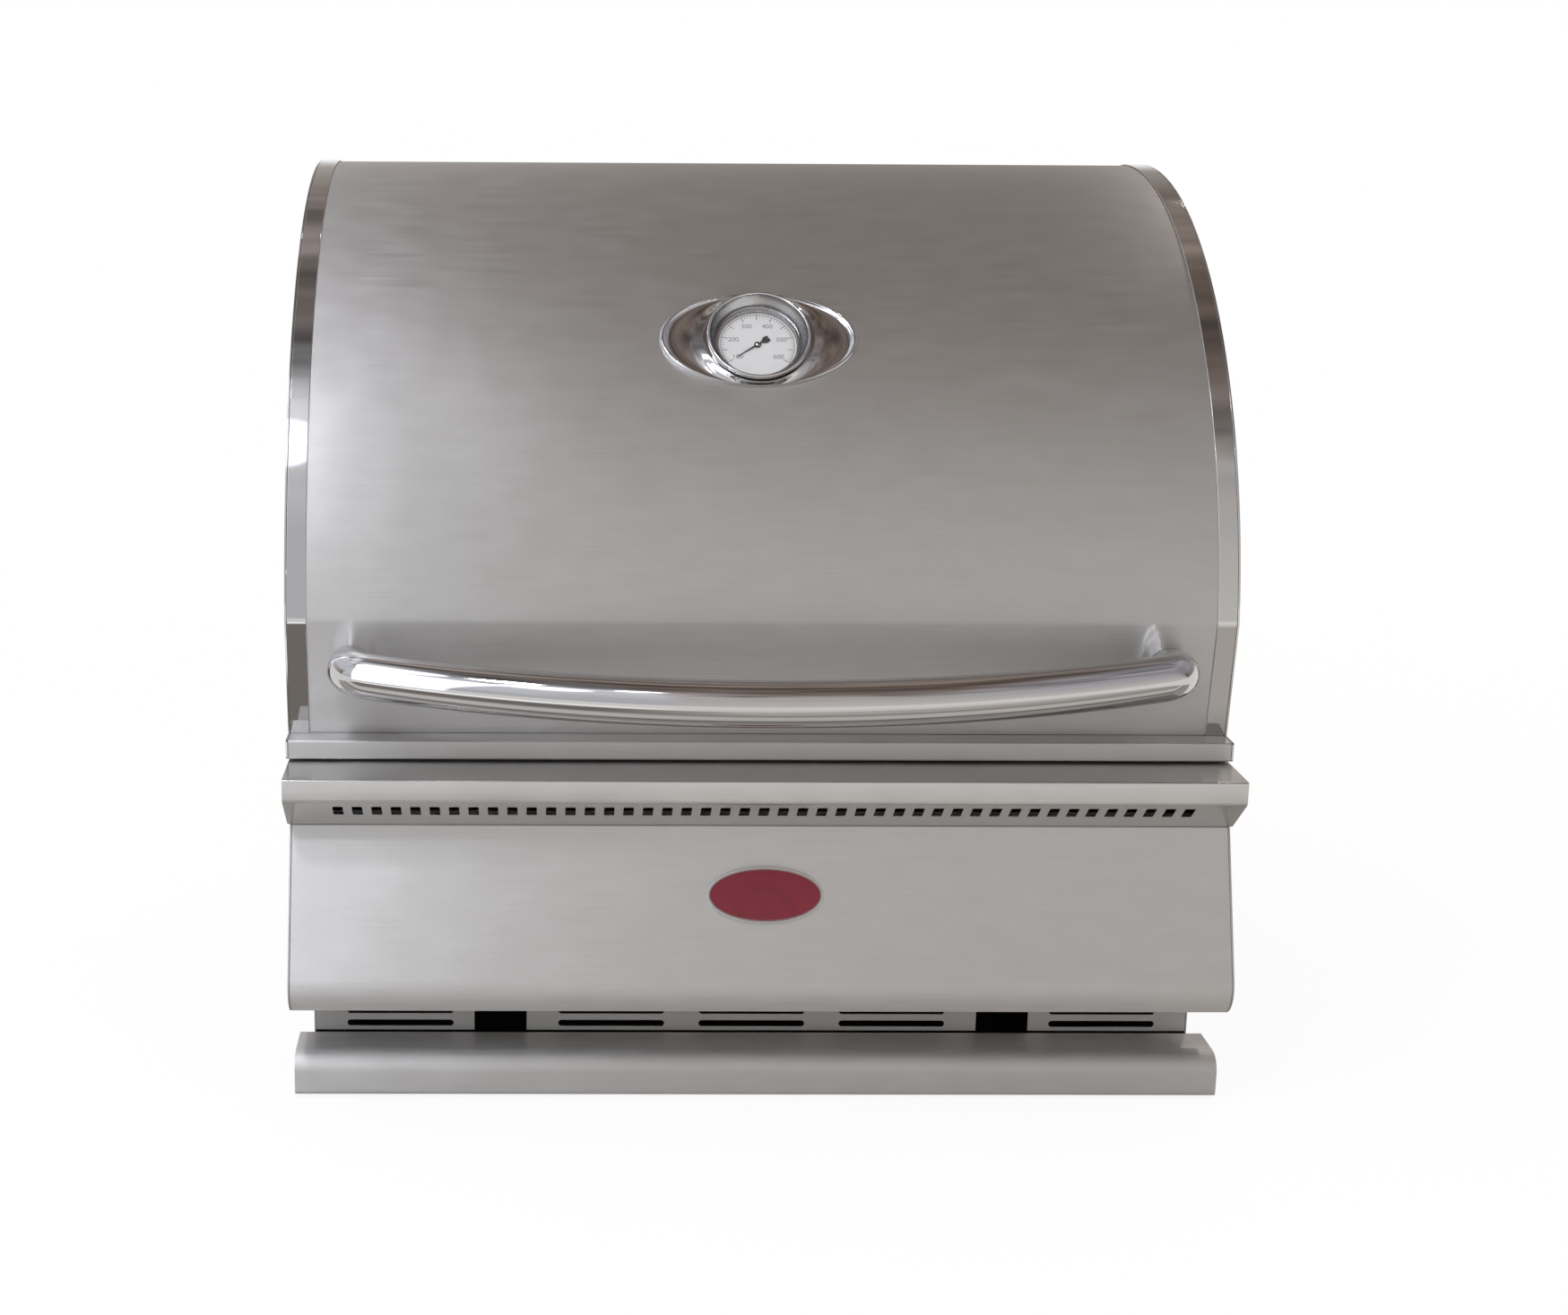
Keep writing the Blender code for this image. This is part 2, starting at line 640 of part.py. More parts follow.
def build_firebox():
    """Four liner walls hung under the flange, with the ledges that carry the grates."""
    low, high = BOX_CLEARANCE, RIM_HEIGHT + UNDER_FLANGE
    front, back = place(BOX_FRONT, 0)[0], place(BOX_BACK, 0)[0]
    outer = HALF_BOX + LINER_SHEET
    box("firebox_front", (-outer, outer), (front - LINER_SHEET, front), (low, high), HEAT_STEEL)
    box("firebox_back", (-outer, outer), (back, back + LINER_SHEET), (low, high), HEAT_STEEL)
    hole = PIN_DIAMETER / 2 + FIT
    pin_z = tray_level() - FIT - PIN_DIAMETER / 2
    for side, sign in SIDES:
        wall = box(f"firebox_{side}", (sign * HALF_BOX, sign * outer), (front + FIT, back - FIT), (low, high),
                   HEAT_STEEL)
        for row, y in enumerate(pin_places()):
            for level in range(PIN_LEVELS):
                centre = (sign * (HALF_BOX + LINER_SHEET / 2), y, pin_z + level * PIN_LEVEL_PITCH)
                name = f"pin_hole_{side}_{row}_{level}"
                cut(wall, cylinder(name, centre, hole, LINER_SHEET + 2 * OVERRUN, "X", None, SMALL_SIDES))

    half = HALF_BOX - GRATE_SIDE_GAP
    for name, wall, sign in (("grate_ledge_front", front + FIT, 1), ("grate_ledge_back", back - FIT, -1)):
        shelf = (wall, wall + sign * LEDGE_SHELF)
        top = RIM_HEIGHT - LEDGE_DROP
        ledge = box(name, (-half, half), shelf, (top - LINER_SHEET, top), HEAT_STEEL)
        leg = box(name + "_leg", (-half, half), (wall, wall + sign * LINER_SHEET), (top - LEDGE_LEG, top),
                  None)
        join(ledge, leg)


def build_tray_pins():
    """Headed pins through the lowest holes of the side liners. They carry the charcoal tray."""
    z = tray_level() - FIT - PIN_DIAMETER / 2
    outer = HALF_BOX + LINER_SHEET + FIT
    inner = HALF_BOX - TRAY_SIDE_GAP - PIN_REACH
    for side, sign in SIDES:
        for end, y in zip(("front", "back"), pin_places()):
            headed_pin(f"tray_pin_{side}_{end}", sign, (inner, outer), (y, z), PIN_DIAMETER,
                       PIN_HEAD_DIAMETER, PIN_HEAD, SMALL_SIDES)


def headed_pin(name, sign, reach, spot, diameter, head_diameter, head, sides=ROUND_SIDES):
    """A pin along X whose head is on its outer end. spot is its Y and Z."""
    inner, outer = reach
    middle = outer + head / 2
    pin = cylinder(name, (sign * (inner + middle) / 2, *spot), diameter / 2, middle - inner, "X",
                   PLAIN_STEEL, sides)
    cap = cylinder(name + "_head", (sign * middle, *spot), head_diameter / 2, head, "X", None, sides)
    return join(pin, cap)


def build_charcoal_tray():
    """Slotted pan for the coals with a rod handle at each end."""
    half = HALF_BOX - TRAY_SIDE_GAP
    y_span = (place(BOX_FRONT + TRAY_END_GAP, 0)[0], place(BOX_BACK - TRAY_END_GAP, 0)[0])
    low, high = tray_level(), tray_level() + TRAY_HEIGHT
    tray = box("charcoal_tray", (-half, half), y_span, (low, high), HEAT_STEEL)
    inner = half - LINER_SHEET
    hollow = box("charcoal_hollow", (-inner, inner), (y_span[0] + LINER_SHEET, y_span[1] - LINER_SHEET),
                 (low + LINER_SHEET, high + OVERRUN), None)
    length = y_span[1] - y_span[0] - 2 * TRAY_SLOT_MARGIN
    slot = (length - (TRAY_SLOT_ROWS - 1) * TRAY_BRIDGE) / TRAY_SLOT_ROWS
    pitch = (2 * half - 2 * TRAY_SLOT_MARGIN - TRAY_SLOT_WIDTH) / (TRAY_SLOT_COLUMNS - 1)
    ranges = []
    for row in range(TRAY_SLOT_ROWS):
        start = y_span[0] + TRAY_SLOT_MARGIN + row * (slot + TRAY_BRIDGE)
        for x in grid_places(TRAY_SLOT_COLUMNS, pitch):
            ranges.append(((x - TRAY_SLOT_WIDTH / 2, x + TRAY_SLOT_WIDTH / 2), (start, start + slot),
                           (low - OVERRUN, low + LINER_SHEET + OVERRUN)))
    cut(tray, hollow, add_mesh("charcoal_slots", boxes_mesh(ranges, (0, 0, 0)), None))

    pieces = [tray]
    middle = sum(y_span) / 2
    z = high - TRAY_HANDLE_DROP
    reach = TRAY_HANDLE_LENGTH / 2
    for side, sign in SIDES:
        foot, out = sign * (half + FIT), sign * (half + TRAY_HANDLE_REACH)
        ends = (middle - reach, middle + reach)
        route = [(foot, ends[0], z), (out, ends[0], z), (out, ends[1], z), (foot, ends[1], z)]
        pieces.append(rod(f"charcoal_handle_{side}", route, HANDLE_ROD, PLAIN_STEEL))
    carrier("charcoal_lift", (0, middle, low), pieces)


def build_grates():
    """Two cooking grates of square bars standing on edge over flat cross bars."""
    y_span = (place(BOX_FRONT + GRATE_END_GAP, 0)[0], place(BOX_BACK - GRATE_END_GAP, 0)[0])
    low = RIM_HEIGHT - LEDGE_DROP + FIT
    edge = GRATE_BAR / math.sqrt(2)
    bar_z = low + CROSS_BAR_HEIGHT - GRATE_BITE + edge
    middle_y = sum(y_span) / 2
    cross_pitch = (y_span[1] - y_span[0] - 2 * CROSS_BAR_INSET) / (CROSS_BAR_COUNT - 1)
    cross_ys = [middle_y + y for y in grid_places(CROSS_BAR_COUNT, cross_pitch)]
    for side, sign in SIDES:
        inner, outer = sign * GRATE_SIDE_GAP / 2, sign * (HALF_BOX - GRATE_SIDE_GAP)
        crosses = [((inner, outer), (y - CROSS_BAR_WIDTH / 2, y + CROSS_BAR_WIDTH / 2),
                    (low, low + CROSS_BAR_HEIGHT)) for y in cross_ys]
        centre = ((inner + outer) / 2, middle_y, low)
        grate = add_mesh(f"cooking_grate_{side}", boxes_mesh(crosses, centre), HEAT_STEEL, centre)
        pitch = (abs(outer - inner) - 2 * edge) / (GRATE_BAR_COUNT - 1)
        bm = bmesh.new()
        for x in grid_places(GRATE_BAR_COUNT, pitch):
            shape = Matrix.Translation((x, 0, 0)) @ Matrix.Rotation(math.pi / 4, 4, "Y")
            shape = shape @ Matrix.Diagonal((GRATE_BAR, y_span[1] - y_span[0], GRATE_BAR, 1))
            bmesh.ops.create_cube(bm, size=1, matrix=shape)
        bars = add_mesh(f"grate_bars_{side}", bm, None, (centre[0], middle_y, bar_z))
        join(grate, bars)
        carrier(f"grate_lift_{side}", centre, [grate])


def build_ash_tray():
    """Full-width ash pan hung by its rims on two runners, behind a round-edged front."""
    half = HALF_BODY - ASH_SIDE_GAP
    y_span = (place(FRONT_BACK_DEPTH + FIT, 0)[0], place(BODY_END_DEPTH - ASH_BACK_GAP, 0)[0])
    low = SHEET + FLOOR_GAP
    high = low + ASH_HEIGHT
    pan = box("ash_tray", (-half, half), y_span, (low, high), PLAIN_STEEL)
    hollow = box("ash_hollow", (SHEET - half, half - SHEET), (y_span[0] + SHEET, y_span[1] - SHEET),
                 (low + SHEET, high + OVERRUN), None)
    rim = (high - SHEET, high)
    for side, sign in SIDES:
        x_span = (sign * (half - SHEET / 2), sign * (half + ASH_RIM_WIDTH))
        join(pan, box(f"ash_rim_{side}", x_span, y_span, rim, None))
    cut(pan, hollow)

    wall = HALF_BODY - SHEET - FIT
    runner_y = (place(WALL_DEPTH + SHEET + FIT, 0)[0], place(BODY_END_DEPTH - SHEET - FIT, 0)[0])
    top = rim[0] - FIT
    for side, sign in SIDES:
        shelf = box(f"runner_{side}", (sign * (wall - RUNNER_SHELF), sign * wall), runner_y,
                    (top - RUNNER_SHEET, top), PLAIN_STEEL)
        leg = box(f"runner_leg_{side}", (sign * (wall - RUNNER_SHEET), sign * wall), runner_y,
                  (top - RUNNER_LEG, top), None)
        join(shelf, leg)

    front = ash_front()
    carrier("ash_tray_way", (0, y_span[0], low), [pan, front])


def ash_front():
    """The tray's front: a hollow rail open at the back, with closed ends."""
    top_arc = arc((FRONT_DEPTH + FRONT_TOP_RADIUS, -FRONT_TOP_DROP - FRONT_TOP_RADIUS), FRONT_TOP_RADIUS,
                  0, math.pi / 2, BEND_STEPS)
    low_arc = arc((FRONT_DEPTH + FRONT_BOTTOM_RADIUS, -FRONT_BOTTOM_DROP + FRONT_BOTTOM_RADIUS),
                  FRONT_BOTTOM_RADIUS, -math.pi / 2, 0, BEND_STEPS // 2)
    face = [(FRONT_BACK_DEPTH, -FRONT_BOTTOM_DROP)] + low_arc + top_arc
    face.append((FRONT_BACK_DEPTH, -FRONT_TOP_DROP))
    width = 2 * (HALF_FLANGE - FRONT_INSET)
    front = plate("ash_tray_front", face, 0, width, BRUSHED)
    inside = offset_line(face, -SHEET)
    inside[0] = (FRONT_BACK_DEPTH + OVERRUN, inside[0][1])
    inside[-1] = (FRONT_BACK_DEPTH + OVERRUN, inside[-1][1])
    hollow = plate("ash_front_hollow", inside, 0, width - 2 * SHEET, None)
    return cut(front, hollow)


# Hood


def crown_centre():
    """Centre of the hood's large front curve."""
    return (CREASE_DEPTH + CROWN_RADIUS * math.cos(CROWN_LEAN),
            CREASE_HEIGHT - CROWN_RADIUS * math.sin(CROWN_LEAN))


def hood_profile(end_height):
    """The skin's outer side: lower band, crease, crown, rounded back and upright back."""
    centre = crown_centre()
    crown = arc(centre, CROWN_RADIUS, CROWN_LEAN, math.pi / 2, CROWN_STEPS)
    back_centre = (centre[0], centre[1] + CROWN_RADIUS - BACK_RADIUS)
    back = arc(back_centre, BACK_RADIUS, math.pi / 2, math.pi, BACK_STEPS)
    foot = (SKIN_DEPTH, HOOD_GAP + LIP_HEIGHT + FIT)
    return [foot] + crown + back[1:] + [(back[-1][0], end_height)]


def skin_frame(height):
    """A point on the lower band at a height, and the directions out of the skin and up it."""
    foot = hood_profile(SKIN_END_HEIGHT)[0]
    run, rise = CREASE_DEPTH - foot[0], CREASE_HEIGHT - foot[1]
    length = math.hypot(run, rise)
    depth = foot[0] + run * (height - foot[1]) / rise
    return (depth, height), (-rise / length, run / length)


def build_hood():
    """Skin, end plates, edge trims and the lip along the front."""
    skin = sheet("hood_skin", hood_profile(SKIN_END_HEIGHT), (-SKIN_HALF, SKIN_HALF), SHEET, BRUSHED)
    pieces = [skin]
    bottom, lip_top = HOOD_GAP, HOOD_GAP + LIP_HEIGHT
    lip_corner = LIP_DEPTH + LIP_RADIUS
    lip_back = LIP_DEPTH + LIP_REACH
    lip = [(lip_back, bottom), (lip_corner, bottom), (LIP_DEPTH, bottom + LIP_RADIUS),
           (LIP_DEPTH, lip_top - LIP_RADIUS), (lip_corner, lip_top), (lip_back, lip_top)]
    pieces.append(sheet("hood_lip", lip, (-SKIN_HALF, SKIN_HALF), SHEET, BRUSHED))

    outer = offset_line(hood_profile(HINGE_HEIGHT), TRIM_OFFSET)
    outer[0] = (outer[0][0], lip_top)
    corner = [(HINGE_DEPTH + HINGE_EYE * math.sin(EYE_TURN), HINGE_HEIGHT - HINGE_EYE * math.cos(EYE_TURN))]
    outline = outer + corner + [(HINGE_DEPTH - HINGE_EYE, bottom)] + lip[1:5]
    trim_line = offset_line(hood_profile(SKIN_END_HEIGHT), TRIM_OFFSET)
    for side, sign in SIDES:
        end = plate(f"hood_end_{side}", outline, sign * (HALF_HOOD - END_SHEET / 2), END_SHEET, POLISHED)
        hole = cylinder(f"hinge_hole_{side}", (sign * HALF_HOOD, *place(HINGE_DEPTH, HINGE_HEIGHT)),
                        HINGE_PIN_DIAMETER / 2 + FIT, 2 * (END_SHEET + OVERRUN), "X", None)
        pieces.append(cut(end, hole))
        x_span = sorted((sign * (SKIN_HALF - TRIM_WIDTH), sign * SKIN_HALF))
        pieces.append(sheet(f"hood_trim_{side}", trim_line, x_span, TRIM_SHEET, POLISHED))
    pieces += build_handle(skin)
    pieces += build_gauge(skin)
    carrier("hood_axis", (0, *place(HINGE_DEPTH, HINGE_HEIGHT)), pieces)


def handle_path():
    """The tube's centreline as pairs (x, distance out of the skin): posts, bends and the bow.

    The bow is the circle through the stand-off point that runs smoothly into both bends.
    """
    radius, bend_out = HANDLE_BEND_RADIUS, HANDLE_BEND_OUT
    post = HALF_HOOD - HANDLE_POST_INSET
    bend_x = post - radius
    rise = HANDLE_STAND_OFF - bend_out
    bow_radius = (bend_x ** 2 + rise ** 2 - radius ** 2) / (2 * (rise - radius))
    bow_centre = HANDLE_STAND_OFF - bow_radius
    turn = math.atan2(bend_out - bow_centre, bend_x)
    bend = [turn * index / BEND_STEPS for index in range(BEND_STEPS + 1)]
    right = [(post, -HANDLE_DIAMETER / 4)]
    right += [(bend_x + radius * math.cos(angle), bend_out + radius * math.sin(angle)) for angle in bend]
    bow = [turn + (math.pi - 2 * turn) * index / BOW_STEPS for index in range(1, BOW_STEPS)]
    middle = [(bow_radius * math.cos(angle), bow_centre + bow_radius * math.sin(angle)) for angle in bow]
    return right + middle + [(-x, away) for x, away in reversed(right)]


def handle_lift(away):
    """How far the tube's centreline lies up the skin. The posts rise straight and level off within the bends."""
    left = max(0, HANDLE_BEND_OUT + HANDLE_BEND_RADIUS - away)
    blend = HANDLE_BEND_RADIUS
    run = left ** 2 / (2 * blend) if left < blend else left - blend / 2
    return -run * math.tan(HANDLE_POST_RISE)


def build_handle(skin):
    """Bowed tube on two short rising posts, held by bolts from inside the hood."""
    spot, out = skin_frame(HANDLE_HEIGHT)
    post = HALF_HOOD - HANDLE_POST_INSET

    def carried(away, lift):
        return place(spot[0] + out[0] * away + out[1] * lift, spot[1] + out[1] * away - out[0] * lift)

    points = [(x, *carried(away, handle_lift(away))) for x, away in handle_path()]
    tube = rod("handle_tube", points, HANDLE_DIAMETER, POLISHED, HANDLE_RINGS)

    lean = math.atan2(-out[1], -out[0])
    pieces = [tube]
    for side, sign in SIDES:
        seat = -SHEET - FIT
        low = seat - BOLT_HEAD
        made = []
        for name, span, diameter, look, sides in (
                (f"post_end_{side}", (-HANDLE_DIAMETER, FIT), 2 * HANDLE_DIAMETER, None, ROUND_SIDES),
                (f"bolt_hole_{side}", (low, BOLT_GRIP + FIT), BOLT_DIAMETER + 2 * FIT, None, SMALL_SIDES),
                (f"handle_bolt_{side}", (low + FIT, BOLT_GRIP), BOLT_DIAMETER, PLAIN_STEEL, SMALL_SIDES),
                (f"bolt_head_{side}", (low, seat), BOLT_HEAD_DIAMETER, None, HEX_SIDES)):
            away = sum(span) / 2
            centre = (sign * post, *carried(away, handle_lift(0)))
            thing = cylinder(name, centre, diameter / 2, span[1] - span[0], "Y", look, sides)
            thing.rotation_euler = (lean, 0, 0)
            made.append(thing)
        post_end, hole, bolt, bolt_head = made
        cut(skin, hole)
        cut(tube, post_end, hole)
        pieces.append(join(bolt, bolt_head))
    return pieces


def build_gauge(skin):
    """Oval plate on the crown with a sunk, glazed dial, its needle, and the nut and stem behind."""
    centre = crown_centre()
    away, up = math.cos(GAUGE_ANGLE), math.sin(GAUGE_ANGLE)
    spot = (centre[0] - CROWN_RADIUS * away, centre[1] + CROWN_RADIUS * up)
    flange = PLATE_RISE + FIT
    top = flange + BEZEL_HEIGHT
    face = top - DIAL_DEPTH
    floor = face - DIAL_SHEET - FIT
    back = floor - CUP_FLOOR
    seat = face + LENS_RISE - FIT
    bezel, cup, mouth = BEZEL_DIAMETER / 2, CUP_DIAMETER / 2, MOUTH_DIAMETER / 2
    dial_bore = DIAL_DIAMETER / 2
    third = BEZEL_ROUND * CHAMFER_SHARE
    arbor_hole = NEEDLE_ARBOR_DIAMETER / 2 + FIT
    nut_outer = cup + FIT + NUT_WALL
    nut_top = -SHEET - FIT - nut_outer ** 2 / (2 * (CROWN_RADIUS - SHEET))

    oval = ellipse("gauge_plate", PLATE_WIDTH, PLATE_HEIGHT, -PLATE_SKIRT, PLATE_RISE, POLISHED)
    round_edges(oval, PLATE_ROUND)
    case = turned("gauge_case", [
        (arbor_hole, floor), (dial_bore, floor), (dial_bore, seat), (dial_bore + LENS_SEAT, seat),
        (mouth - BEZEL_ROUND / 2, top - BEZEL_ROUND), (mouth, top - third), (mouth + BEZEL_ROUND / 2, top),
        (bezel - BEZEL_ROUND, top), (bezel - third, top - third), (bezel, top - BEZEL_ROUND),
        (bezel, flange), (cup, flange), (cup, back), (arbor_hole, back), (arbor_hole, floor)], POLISHED)
    dial = turned("gauge_dial", ring(arbor_hole, dial_bore - FIT, floor + FIT, face), DIAL_WHITE)
    nut = turned("gauge_nut", ring(cup + FIT, nut_outer, nut_top - NUT_HEIGHT, nut_top), PLAIN_STEEL)
    lens = cylinder("gauge_lens", (0, 0, 0), dial_bore + LENS_SEAT - FIT, LENS_SHEET, "Z", GLASS, FINE_SIDES)
    stem = cylinder("gauge_stem", (0, 0, 0), STEM_DIAMETER / 2, STEM_LENGTH, "Z", PLAIN_STEEL)
    needle = build_needle(face + FIT, back + FIT)
    hole = cylinder("gauge_hole", (0, 0, 0), cup + FIT, 2 * nut_outer, "Z", None, FINE_SIDES)

    levels = ((oval, 0), (case, 0), (dial, 0), (needle, 0), (nut, 0), (hole, 0),
              (lens, seat + FIT + LENS_SHEET / 2), (stem, back - FIT - STEM_LENGTH / 2))
    for thing, level in levels:
        thing.location = (0, *place(spot[0] - away * level, spot[1] + up * level))
        thing.rotation_euler = (math.pi / 2 - GAUGE_ANGLE, 0, 0)
    under = cylinder("plate_seat", (0, *place(*centre)), CROWN_RADIUS + FIT, PLATE_WIDTH + 2 * OVERRUN, "X",
                     None, SEAT_SIDES)
    cut(oval, under, hole)
    cut(skin, hole)
    return [oval, case, dial, lens, needle, stem, nut]


def ring(inner, outer, low, high):
    """Closed profile of a flat ring, for turning."""
    return [(inner, high), (outer, high), (outer, low), (inner, low), (inner, high)]


def build_needle(low, arbor_low):
    """Thin pointer with a broad tail on a hub, whose arbor runs down into the cup's floor."""
    middle = low + NEEDLE_HUB / 2
    needle = cylinder("gauge_needle", (0, 0, 0), NEEDLE_HUB_DIAMETER / 2, NEEDLE_HUB, "Z", POINTER,
                      SMALL_SIDES)
    needle.data.transform(Matrix.Translation((0, 0, middle)))
    arbor = cylinder("needle_arbor", (0, 0, 0), NEEDLE_ARBOR_DIAMETER / 2, middle - arbor_low, "Z", None,
                     SMALL_SIDES)
    arbor.data.transform(Matrix.Translation((0, 0, (middle + arbor_low) / 2)))
    blade_span = (middle - NEEDLE_SHEET / 2, middle + NEEDLE_SHEET / 2)
    pointer = boxes_mesh([((0, NEEDLE_LENGTH), (-NEEDLE_WIDTH / 2, NEEDLE_WIDTH / 2), blade_span)], (0, 0, 0))
    tail = bmesh.new()
    radius = NEEDLE_TAIL_RADIUS
    bmesh.ops.create_cone(tail, cap_ends=True, segments=3, radius1=radius, radius2=radius,
                          depth=NEEDLE_SHEET / 2, matrix=Matrix.Translation((-NEEDLE_TAIL, 0, middle)))
    stalk = boxes_mesh([((-NEEDLE_TAIL, 0), (-NEEDLE_WIDTH / 2, NEEDLE_WIDTH / 2), blade_span)], (0, 0, 0))
    shapes = [arbor]
    for name, bm in (("needle_pointer", pointer), ("needle_tail", tail), ("needle_stalk", stalk)):
        bmesh.ops.rotate(bm, verts=bm.verts, matrix=Matrix.Rotation(NEEDLE_ANGLE, 3, "Z"))
        shapes.append(add_mesh(name, bm, None))
    for shape in shapes:
        shape.parent = needle
    return join(needle, *shapes)


def build_hinge():
    """Brackets on the rear flange, the pins that the hood turns on, rests and the rear upstand."""
    y, z = place(HINGE_DEPTH, HINGE_HEIGHT)
    eye = arc((HINGE_DEPTH, HINGE_HEIGHT), HINGE_EYE, 0, math.pi, BEND_STEPS)
    outline = [(HINGE_DEPTH - BRACKET_REACH, FIT)] + eye + [(HINGE_DEPTH + HINGE_EYE, FIT)]
    middle = HALF_HOOD - BRACKET_INSET - BRACKET_SHEET / 2
    tail = HALF_HOOD - BRACKET_INSET - BRACKET_SHEET - HINGE_PIN_TAIL
    for side, sign in SIDES:
        bracket = plate(f"hinge_bracket_{side}", outline, sign * middle, BRACKET_SHEET, PLAIN_STEEL)
        hole = cylinder(f"bracket_hole_{side}", (sign * middle, y, z), HINGE_PIN_DIAMETER / 2 + FIT,
                        BRACKET_SHEET + 2 * OVERRUN, "X", None)
        cut(bracket, hole)
        headed_pin(f"hinge_pin_{side}", sign, (tail, HALF_HOOD + FIT), (y, z), HINGE_PIN_DIAMETER,
                   HINGE_HEAD_DIAMETER, HINGE_HEAD)

    rest_y = place(LIP_DEPTH + LIP_REACH / 2, 0)[0]
    half = REST_SIZE / 2
    z_span = (RIM_HEIGHT + FIT, RIM_HEIGHT + HOOD_GAP - FIT)
    for side, sign in SIDES:
        x = sign * (HALF_HOOD - REST_INSET)
        box(f"hood_rest_{side}", (x - half, x + half), (rest_y - half, rest_y + half), z_span, PLAIN_STEEL)

    half = HALF_FLANGE - SHEET
    face = HINGE_DEPTH + HINGE_EYE + FIT
    profile = [(face + UPSTAND_FOOT, FIT), (face, FIT), (face, UPSTAND_HEIGHT)]
    sheet("rear_upstand", profile, (-half, half), SHEET, BRUSHED)


def main():
    clear_scene()
    build_body()
    build_vent_rail()
    build_fascia()
    build_front_wall()
    build_emblem()
    build_firebox()
    build_tray_pins()
    build_charcoal_tray()
    build_grates()
    build_ash_tray()
    build_hinge()
    build_hood()


main()
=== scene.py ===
# %% [markdown]
# # Built-in charcoal grill
#
# The object is a stainless steel charcoal grill that hangs in a cut-out of a kitchen counter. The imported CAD
# model brings every solid to its right place, in metres, and this lesson dresses it: it works out finer
# surfaces for what the eye sees first, and gives every piece a finish that follows how the real one was made.

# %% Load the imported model
import json
import math

import bmesh
import bpy
import numpy as np
from mathutils import Matrix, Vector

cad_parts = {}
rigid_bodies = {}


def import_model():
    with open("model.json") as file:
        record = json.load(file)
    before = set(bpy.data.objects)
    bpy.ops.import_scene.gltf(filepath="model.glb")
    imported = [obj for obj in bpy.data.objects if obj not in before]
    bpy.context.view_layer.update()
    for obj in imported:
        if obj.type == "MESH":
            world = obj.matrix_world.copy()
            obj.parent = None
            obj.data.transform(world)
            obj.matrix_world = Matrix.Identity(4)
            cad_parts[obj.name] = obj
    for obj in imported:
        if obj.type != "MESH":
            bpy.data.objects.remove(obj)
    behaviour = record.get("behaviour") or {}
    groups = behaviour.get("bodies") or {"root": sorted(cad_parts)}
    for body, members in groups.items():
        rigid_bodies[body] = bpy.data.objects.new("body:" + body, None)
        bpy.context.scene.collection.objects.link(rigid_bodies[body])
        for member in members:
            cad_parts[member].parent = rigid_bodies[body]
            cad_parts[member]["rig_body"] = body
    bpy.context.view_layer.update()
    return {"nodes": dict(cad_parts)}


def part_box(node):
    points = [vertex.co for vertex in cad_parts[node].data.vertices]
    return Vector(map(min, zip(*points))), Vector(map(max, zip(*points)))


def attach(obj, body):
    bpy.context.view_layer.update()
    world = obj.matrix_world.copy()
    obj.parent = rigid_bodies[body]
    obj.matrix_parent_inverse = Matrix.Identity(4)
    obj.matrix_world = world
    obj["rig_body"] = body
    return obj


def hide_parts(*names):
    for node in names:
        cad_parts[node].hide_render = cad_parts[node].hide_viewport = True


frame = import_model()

# %% [markdown]
# ## Where things are
#
# The counter flange's front edge and top face are the grill's natural zero. A maker's side profile is easiest to
# read as pairs (depth behind that edge, height over that face), so one small function turns such pairs into the
# model's Y and Z. Some sizes are read from the boxes of the CAD nodes, and the others repeat the CAD's own.

# %% Zero lines and shared sizes
rail_low, rail_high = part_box("vent_rail")
FRONT_EDGE, FLANGE_TOP, HALF_FLANGE = rail_low.y, rail_high.z, rail_high.x
SKIN_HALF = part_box("hood_skin")[1].x
SHEET = 0.0015  # gauge of the outside sheets
FIT = 0.0003  # air between neighbouring pieces


def place(profile):
    """Y and Z of profile pairs: the flange's front edge plus depth, and the flange's top face plus height."""
    return np.asarray(profile, float) + (FRONT_EDGE, FLANGE_TOP)


def unit(ways):
    """Directions divided by their own length."""
    return ways / np.linalg.norm(ways, axis=-1, keepdims=True)


print("flange", round(2 * HALF_FLANGE, 4), "hood skin", round(2 * SKIN_HALF, 4))

# %% [markdown]
# ## Camera
#
# The photo was taken standing in front of the grill and a little to its left, looking slightly down. A camera
# fitted to the grill's straight edges gives the place, the three turns and the focal length. The picture is a
# crop, so its middle isn't where the lens points, and the camera's shift makes up for that.

# %% Camera
PHOTO_WIDTH, PHOTO_HEIGHT = 1749, 1467
FOCAL_PIXELS = 2601.84
LENS_POINT = (626.72, 688.0)  # the pixel that the lens points at
CAMERA_SPOT = (-0.1843, -2.1267, 0.8377)
PITCH, YAW, ROLL = 0.2247, 0.0096, 0.0058
SENSOR = 36  # millimetres
scene = bpy.context.scene


def put(name, data):
    """New object in the scene."""
    made = bpy.data.objects.new(name, data)
    scene.collection.objects.link(made)
    return made


def stand(thing, spot, *ways):
    """Moves a thing to the spot and turns its own X, Y and Z along the three ways."""
    pose = np.eye(4)
    pose[:3, :3], pose[:3, 3] = np.stack(ways, axis=1), spot
    thing.matrix_world = Matrix(pose.tolist())


